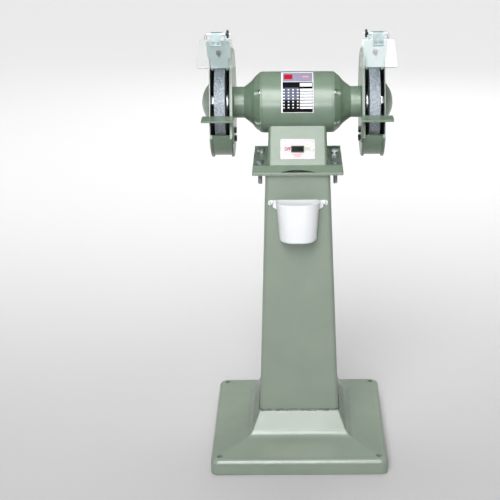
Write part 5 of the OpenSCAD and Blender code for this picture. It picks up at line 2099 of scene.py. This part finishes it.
@dataclass
class EyeShields:
    """Deflector plates, and the panes that hang from rods in front of them.

    Attributes:
        plate_t: The deflector plate.
        slide: The gap it slides with.
        rod_out: The rod, from the spindle along the plate.
        rod_off: The rod, in front of the plate.
        rod_r: The rod's radius.
        tab_x: The inner face of the plate's tab along X.
        pane_x: The pane's middle along X.
        pane: The pane's width at its top and at its foot, and its height.
        pane_t: The pane's thickness.
        pane_corner_r: Radius of its corners.
        strap: Underside and top of the clip's leaf, above the rod's middle.
        strap_r: Outer radius of the clip's fold.
    """

    plate_t: float = 3.0
    slide: float = 0.3
    rod_out: float = 200.7
    rod_off: float = 4.6
    rod_r: float = 2.5
    tab_x: float = 161.0
    pane_x: float = 182.6
    pane: tuple[float, float, float] = (74.0, 86.0, 71.0)
    pane_t: float = 3.0
    pane_corner_r: float = 7.0
    strap: tuple[float, float] = (1.5, 3.5)
    strap_r: float = 4.5

    def deflector(self) -> None:
        """The plate, its slot, and the tab that holds the rod."""
        half = [
            (15, 104), (15, 97), (18, 97), (21, 101),
            (21, 128.5), (26.3, 131.5), (27.3, 177), (24.3, 180),
        ]
        outline = [(x + WHEEL_MID_X, y) for x, y in both_halves(half)]
        plate = prism("spark_deflector_plate_right", outline, self.plate_t)
        foot, tip, r = 170.0, self.rod_out, 6.5
        nose = arc((tip, self.rod_off), r, -45, 90, 10)
        outline = [(foot, 0), (tip, 0), *nose, (foot, self.rod_off + r)]
        tab_piece = place(prism("tab", outline, 3), at(self.tab_x, 0, 0) @ SIDEWAYS)
        combine(Join.ADD, plate, tab_piece)
        ends = [
            *arc((WHEEL_MID_X, 150), 3.3, 0, 180, 10), *arc((WHEEL_MID_X, 136), 3.3, 180, 360, 10),
        ]
        combine(Join.CUT, plate, prism("slot", ends, 12, -4))
        hole = place(
            bar("hole", 2.55, 12, (0, 0, 0), sides=32),
            at(self.tab_x, self.rod_out, self.rod_off - self.slide) @ turn(90, "Y"),
        )
        combine(Join.CUT, plate, hole)
        ease(plate, 0.5, 2, angle=40)
        place(plate, ON_OPENING @ at(0, 0, self.slide))
        hand_over_pair(
            plate, "spark_deflector_plate", DEFLECTOR_ENAMEL, "deflector_{side}", "spark_deflector",
        )
        kit = Fasteners()
        screw = kit.hex_bolt("deflector_screw_pair", 6, 12, 10, 4, 8)
        washer = place(kit.washer("washer", 6.5, 3.1, 1.2), at(0, 0, -1.2))
        whole = gather("deflector_screw_pair", [screw, washer])
        right = ON_OPENING @ at(WHEEL_MID_X, 148, self.plate_t + 0.6 + 1.2)
        hand_over(
            repeat("deflector_screw_pair", whole, both_sides([right])), BLACKENED_STEEL, "stand",
            "deflector_screws", angle=25,
        )

    def rod(self) -> None:
        """The rod, bent over at its outer end, with a collar beside the tab."""
        r = self.rod_r
        rod = bar("shield_rod_steel_right", r, 0.5, (0, 0, 0.25), sides=24)
        place(rod, at(150, 0, 0) @ turn(90, "Y"))
        with editing(rod, Part.FACES):
            pick(rod, Part.FACES, lambda f: f.normal.x > NEARLY)
            bpy.ops.mesh.extrude_region_move(TRANSFORM_OT_translate={"value": metres(50, 0, 0)})
            pick(rod, Part.FACES, lambda f: f.normal.x > NEARLY)
            bpy.ops.mesh.spin(
                steps=8, angle=-radians(90), center=metres(200.5, 5, 0), axis=(0, 0, 1),
            )
            bpy.ops.mesh.extrude_region_move(TRANSFORM_OT_translate={"value": metres(0, 7, 0)})
        outward(rod)
        ease(rod, 0.5, 2, angle=50)
        collar = turned("collar", [
            (r, 0), (4.1, 0), (4.5, 0.4), (4.5, 2.1), (4.1, 2.5), (r, 2.5),
        ], steps=32)
        place(collar, at(self.tab_x + 3.3, 0, 0) @ turn(90, "Y"))
        place(gather("shield_rod_steel_right", [rod, collar]), ON_PANE)
        hand_over_pair(rod, "shield_rod_steel", ZINC_PLATE, "shield_{side}", "shield_rod")

    def clip(self) -> None:
        """The strap folded round the rod, with its two screws and nuts."""
        (under, over), r = self.strap, self.strap_r
        low, high = degrees(asin(under / r)), degrees(asin(over / r))
        outline = [(32, over), *arc((0, 0), r, high, 360 + low, 28), (32, under)]
        strap = prism("shield_clip_strap_right", outline, 24, -12)
        combine(Join.CUT, strap, bar("bore", 2.52, 40, (0, 0, 0)))
        place(strap, ON_PANE @ at(self.pane_x, 0, 0) @ SIDEWAYS)
        ease(strap, 0.3, 2, angle=50)
        hand_over_pair(strap, "shield_clip_strap", DULL_ZINC, "shield_{side}", "shield_clip")
        kit = Fasteners()
        screw = kit.pan_screw("pane_screw_pair_right", 4, 11)
        nut = place(kit.hex_head("nut", 7, 3.2), at(0, 0, -8.2))
        whole = gather("pane_screw_pair_right", [screw, nut])
        spots = [ON_PANE @ at(self.pane_x + x * 6, 24, over) for x in (-1, 1)]
        hand_over_pair(
            repeat("pane_screw_pair_right", whole, spots), "pane_screw_pair", DULL_ZINC,
            "shield_{side}", "shield_screws", 25,
        )

    def sheet(self) -> None:
        """The clear pane, cut from sheet with eased edges."""
        top, low, high = self.pane
        r = self.pane_corner_r
        outline = rounded([
            (-top / 2, 0, r), (top / 2, 0, r), (low / 2, high, r), (-low / 2, high, r),
        ], 6)
        pane = prism("eye_shield_pane_right", outline, self.pane_t, -self.pane_t / 2)
        ease(pane, 0.35, 2, angle=50)
        place(pane, ON_PANE @ at(self.pane_x, 14, 0))
        hand_over_pair(pane, "eye_shield_pane", POLYCARBONATE, "shield_{side}", "eye_shield")

    def wing_nut(self) -> None:
        """The wing nut that locks the rod."""
        hub = turned(
            "wing_nut_casting_right",
            [(2.55, 0), (4.2, 0), (4.5, 0.4), (4.0, 7.1), (3.6, 7.5), (2.55, 7.5)], steps=32,
        )
        outline = rounded([
            (3.4, 0.2, 0), (8.6, 0.6, 1.6), (9.5, 5.4, 1.8), (6.6, 5.5, 1.2), (3.4, 3.4, 0),
        ], 4)
        wing = place(prism("wing", outline, 2.4, -1.2), turn(90, "X"))
        twin = copy_to(wing, turn(180, "Z"), "wing_b")
        combine(Join.ADD, hub, wing, twin)
        ease(hub, 0.3, 2, angle=40)
        place(hub, at(self.tab_x - 0.3 - 7.5, *ROD) @ turn(90, "Y"))
        hand_over_pair(hub, "wing_nut_casting", BLACKENED_STEEL, "wing_{side}", "wing_nut")

    def build(self) -> None:
        """Builds the deflectors and shields."""
        self.deflector()
        self.rod()
        self.clip()
        self.sheet()
        self.wing_nut()


# ---- the studio ----


@dataclass
class Studio:
    """Camera, soft lights and a plain pale floor.

    Attributes:
        distance: The camera from the spindle's middle, in metres.
        height: The camera above the floor, in metres.
        pitch: How far the camera is raised from looking straight down.
        roll: How far it is tipped sideways.
        lens: Its focal length on a 36 mm frame.
        shift: Its frame's shift sideways and up, as shares of its width.
        sky: Strength of the even light from all sides.
        floor_grey: The floor's linear grey.
    """

    distance: float = 2.786
    height: float = 1.601
    pitch: float = 68.6
    roll: float = -0.35
    lens: float = 86.47
    shift: tuple[float, float] = (-0.0965, 0.0022)
    sky: float = 0.22
    floor_grey: float = 0.38

    def camera(self) -> None:
        """The camera at the operator's side, a little above the wheels."""
        data = bpy.data.cameras.new("view")
        data.lens = self.lens
        data.sensor_width = 36
        data.shift_x, data.shift_y = self.shift
        data.clip_end = 200
        camera = bpy.data.objects.new("view", data)
        bpy.context.scene.collection.objects.link(camera)
        stand_at = Matrix.Translation((0, -self.distance, self.height))
        camera.matrix_world = stand_at @ turn(self.pitch, "X") @ turn(self.roll, "Z")
        bpy.context.scene.camera = camera

    def light(
        self, name: str, spot: tuple, aim: tuple, size: tuple, power: float, spread: float = 180,
        mirrored_in: bool = True,
    ) -> None:
        """One soft box, out of the camera's sight.

        Args:
            name: The light's name.
            spot: Its place in metres.
            aim: The point it faces, in metres.
            size: Its width and height in metres.
            power: Its power in watts.
            spread: The full angle it shines through, in degrees.
            mirrored_in: Whether it shows in glossy surfaces.
        """
        data = bpy.data.lights.new(name, "AREA")
        data.shape = "RECTANGLE"
        data.size, data.size_y = size
        data.energy = power
        data.spread = radians(spread)
        lamp = bpy.data.objects.new(name, data)
        bpy.context.scene.collection.objects.link(lamp)
        lamp.location = spot
        lamp.rotation_euler = (Vector(aim) - Vector(spot)).to_track_quat("-Z", "Y").to_euler()
        lamp.visible_camera = False
        lamp.visible_glossy = mirrored_in

    def floor(self) -> None:
        """A plain pale floor that runs out of sight."""
        floor = start("plane", "studio_floor", size=60)
        material = bpy.data.materials.new("pale_studio_floor")
        material.use_nodes = True
        shader = material.node_tree.nodes["Principled BSDF"]
        shader.inputs["Base Color"].default_value = (*(self.floor_grey,) * 3, 1)
        shader.inputs["Roughness"].default_value = 0.9
        shader.inputs["Specular IOR Level"].default_value = 0.1
        floor.data.materials.append(material)

    def build(self) -> None:
        """Sets the scene up."""
        self.camera()
        self.floor()
        scene = bpy.context.scene
        scene.view_settings.view_transform = "Standard"
        scene.view_settings.look = "None"
        scene.world = bpy.data.worlds.new("studio")
        scene.world.use_nodes = True
        air = scene.world.node_tree.nodes["Background"]
        air.inputs["Color"].default_value = (1, 1, 1, 1)
        air.inputs["Strength"].default_value = self.sky
        self.light("key", (-0.5, -2.5, 3.02), (0, 0, 0.8), (1.9, 2.4), 155)
        self.light("low_front", (-0.2, -3.8, 1.3), (0, 0, 0.5), (1.3, 1.1), 54)
        self.light("top_strip", (0.52, -0.96, 3.0), (0.2, -0.1, 1.0), (0.5, 0.8), 5.2)
        self.light("back_fill", (0.5, 3.6, 2.0), (0, 0, 0.7), (2.4, 2.0), 40, mirrored_in=False)
        # soft boxes aimed straight down at the floor, their spread narrowed so that little of their
        # light reaches the machine
        for name, (x, y), size, power in (
            ("floor_wash", (0, 5.2), (16, 9.4), 900),
            ("far_wash_left", (-13, 0), (16, 30), 1100),
            ("far_wash_right", (13, 0), (16, 30), 1100),
            ("far_wash_front", (0, -10), (10, 12), 300),
            ("far_wash_back", (0, 16), (10, 12), 400),
        ):
            self.light(name, (x, y, 4.2), (x, y, 0), size, power, spread=60, mirrored_in=False)


def dress_kept_solids() -> None:
    """Finishes for the solids whose own shape is shown."""
    dress(BLACKENED_STEEL, "saddle_bolts", "outer_flange_left", "outer_flange_right")
    dress(TURNED_STEEL, "spindle_shaft", "inner_flange_left", "inner_flange_right")
    dress(TURNED_STEEL, "bearing_outer_left", "bearing_outer_right")
    dress(TURNED_STEEL, "bearing_inner_left", "bearing_inner_right", "bearing_balls")
    dress(DRAWN_ALUMINIUM, "run_capacitor")
    dress(LAMINATED_STEEL, "stator_core", "rotor_core")
    dress(VARNISHED_COPPER, "stator_windings")
    dress(BLOTTING_PAPER, "wheel_blotters")
    dress(ZINC_PLATE, "guard_bolts")


def main() -> None:
    """Builds every sub-assembly."""
    logging.basicConfig(level=logging.INFO, format="%(name)s: %(message)s", stream=sys.stdout)
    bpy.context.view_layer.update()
    Studio().build()
    assemblies = (
        Stand(), Bucket(), MotorFoot(), Switch(), Motor(), Wheels(), Guards(), ToolRests(),
        EyeShields(),
    )
    for assembly in assemblies:
        assembly.build()
        log.info("%s done", type(assembly).__name__)
    dress_kept_solids()


if __name__ == "__main__":
    main()
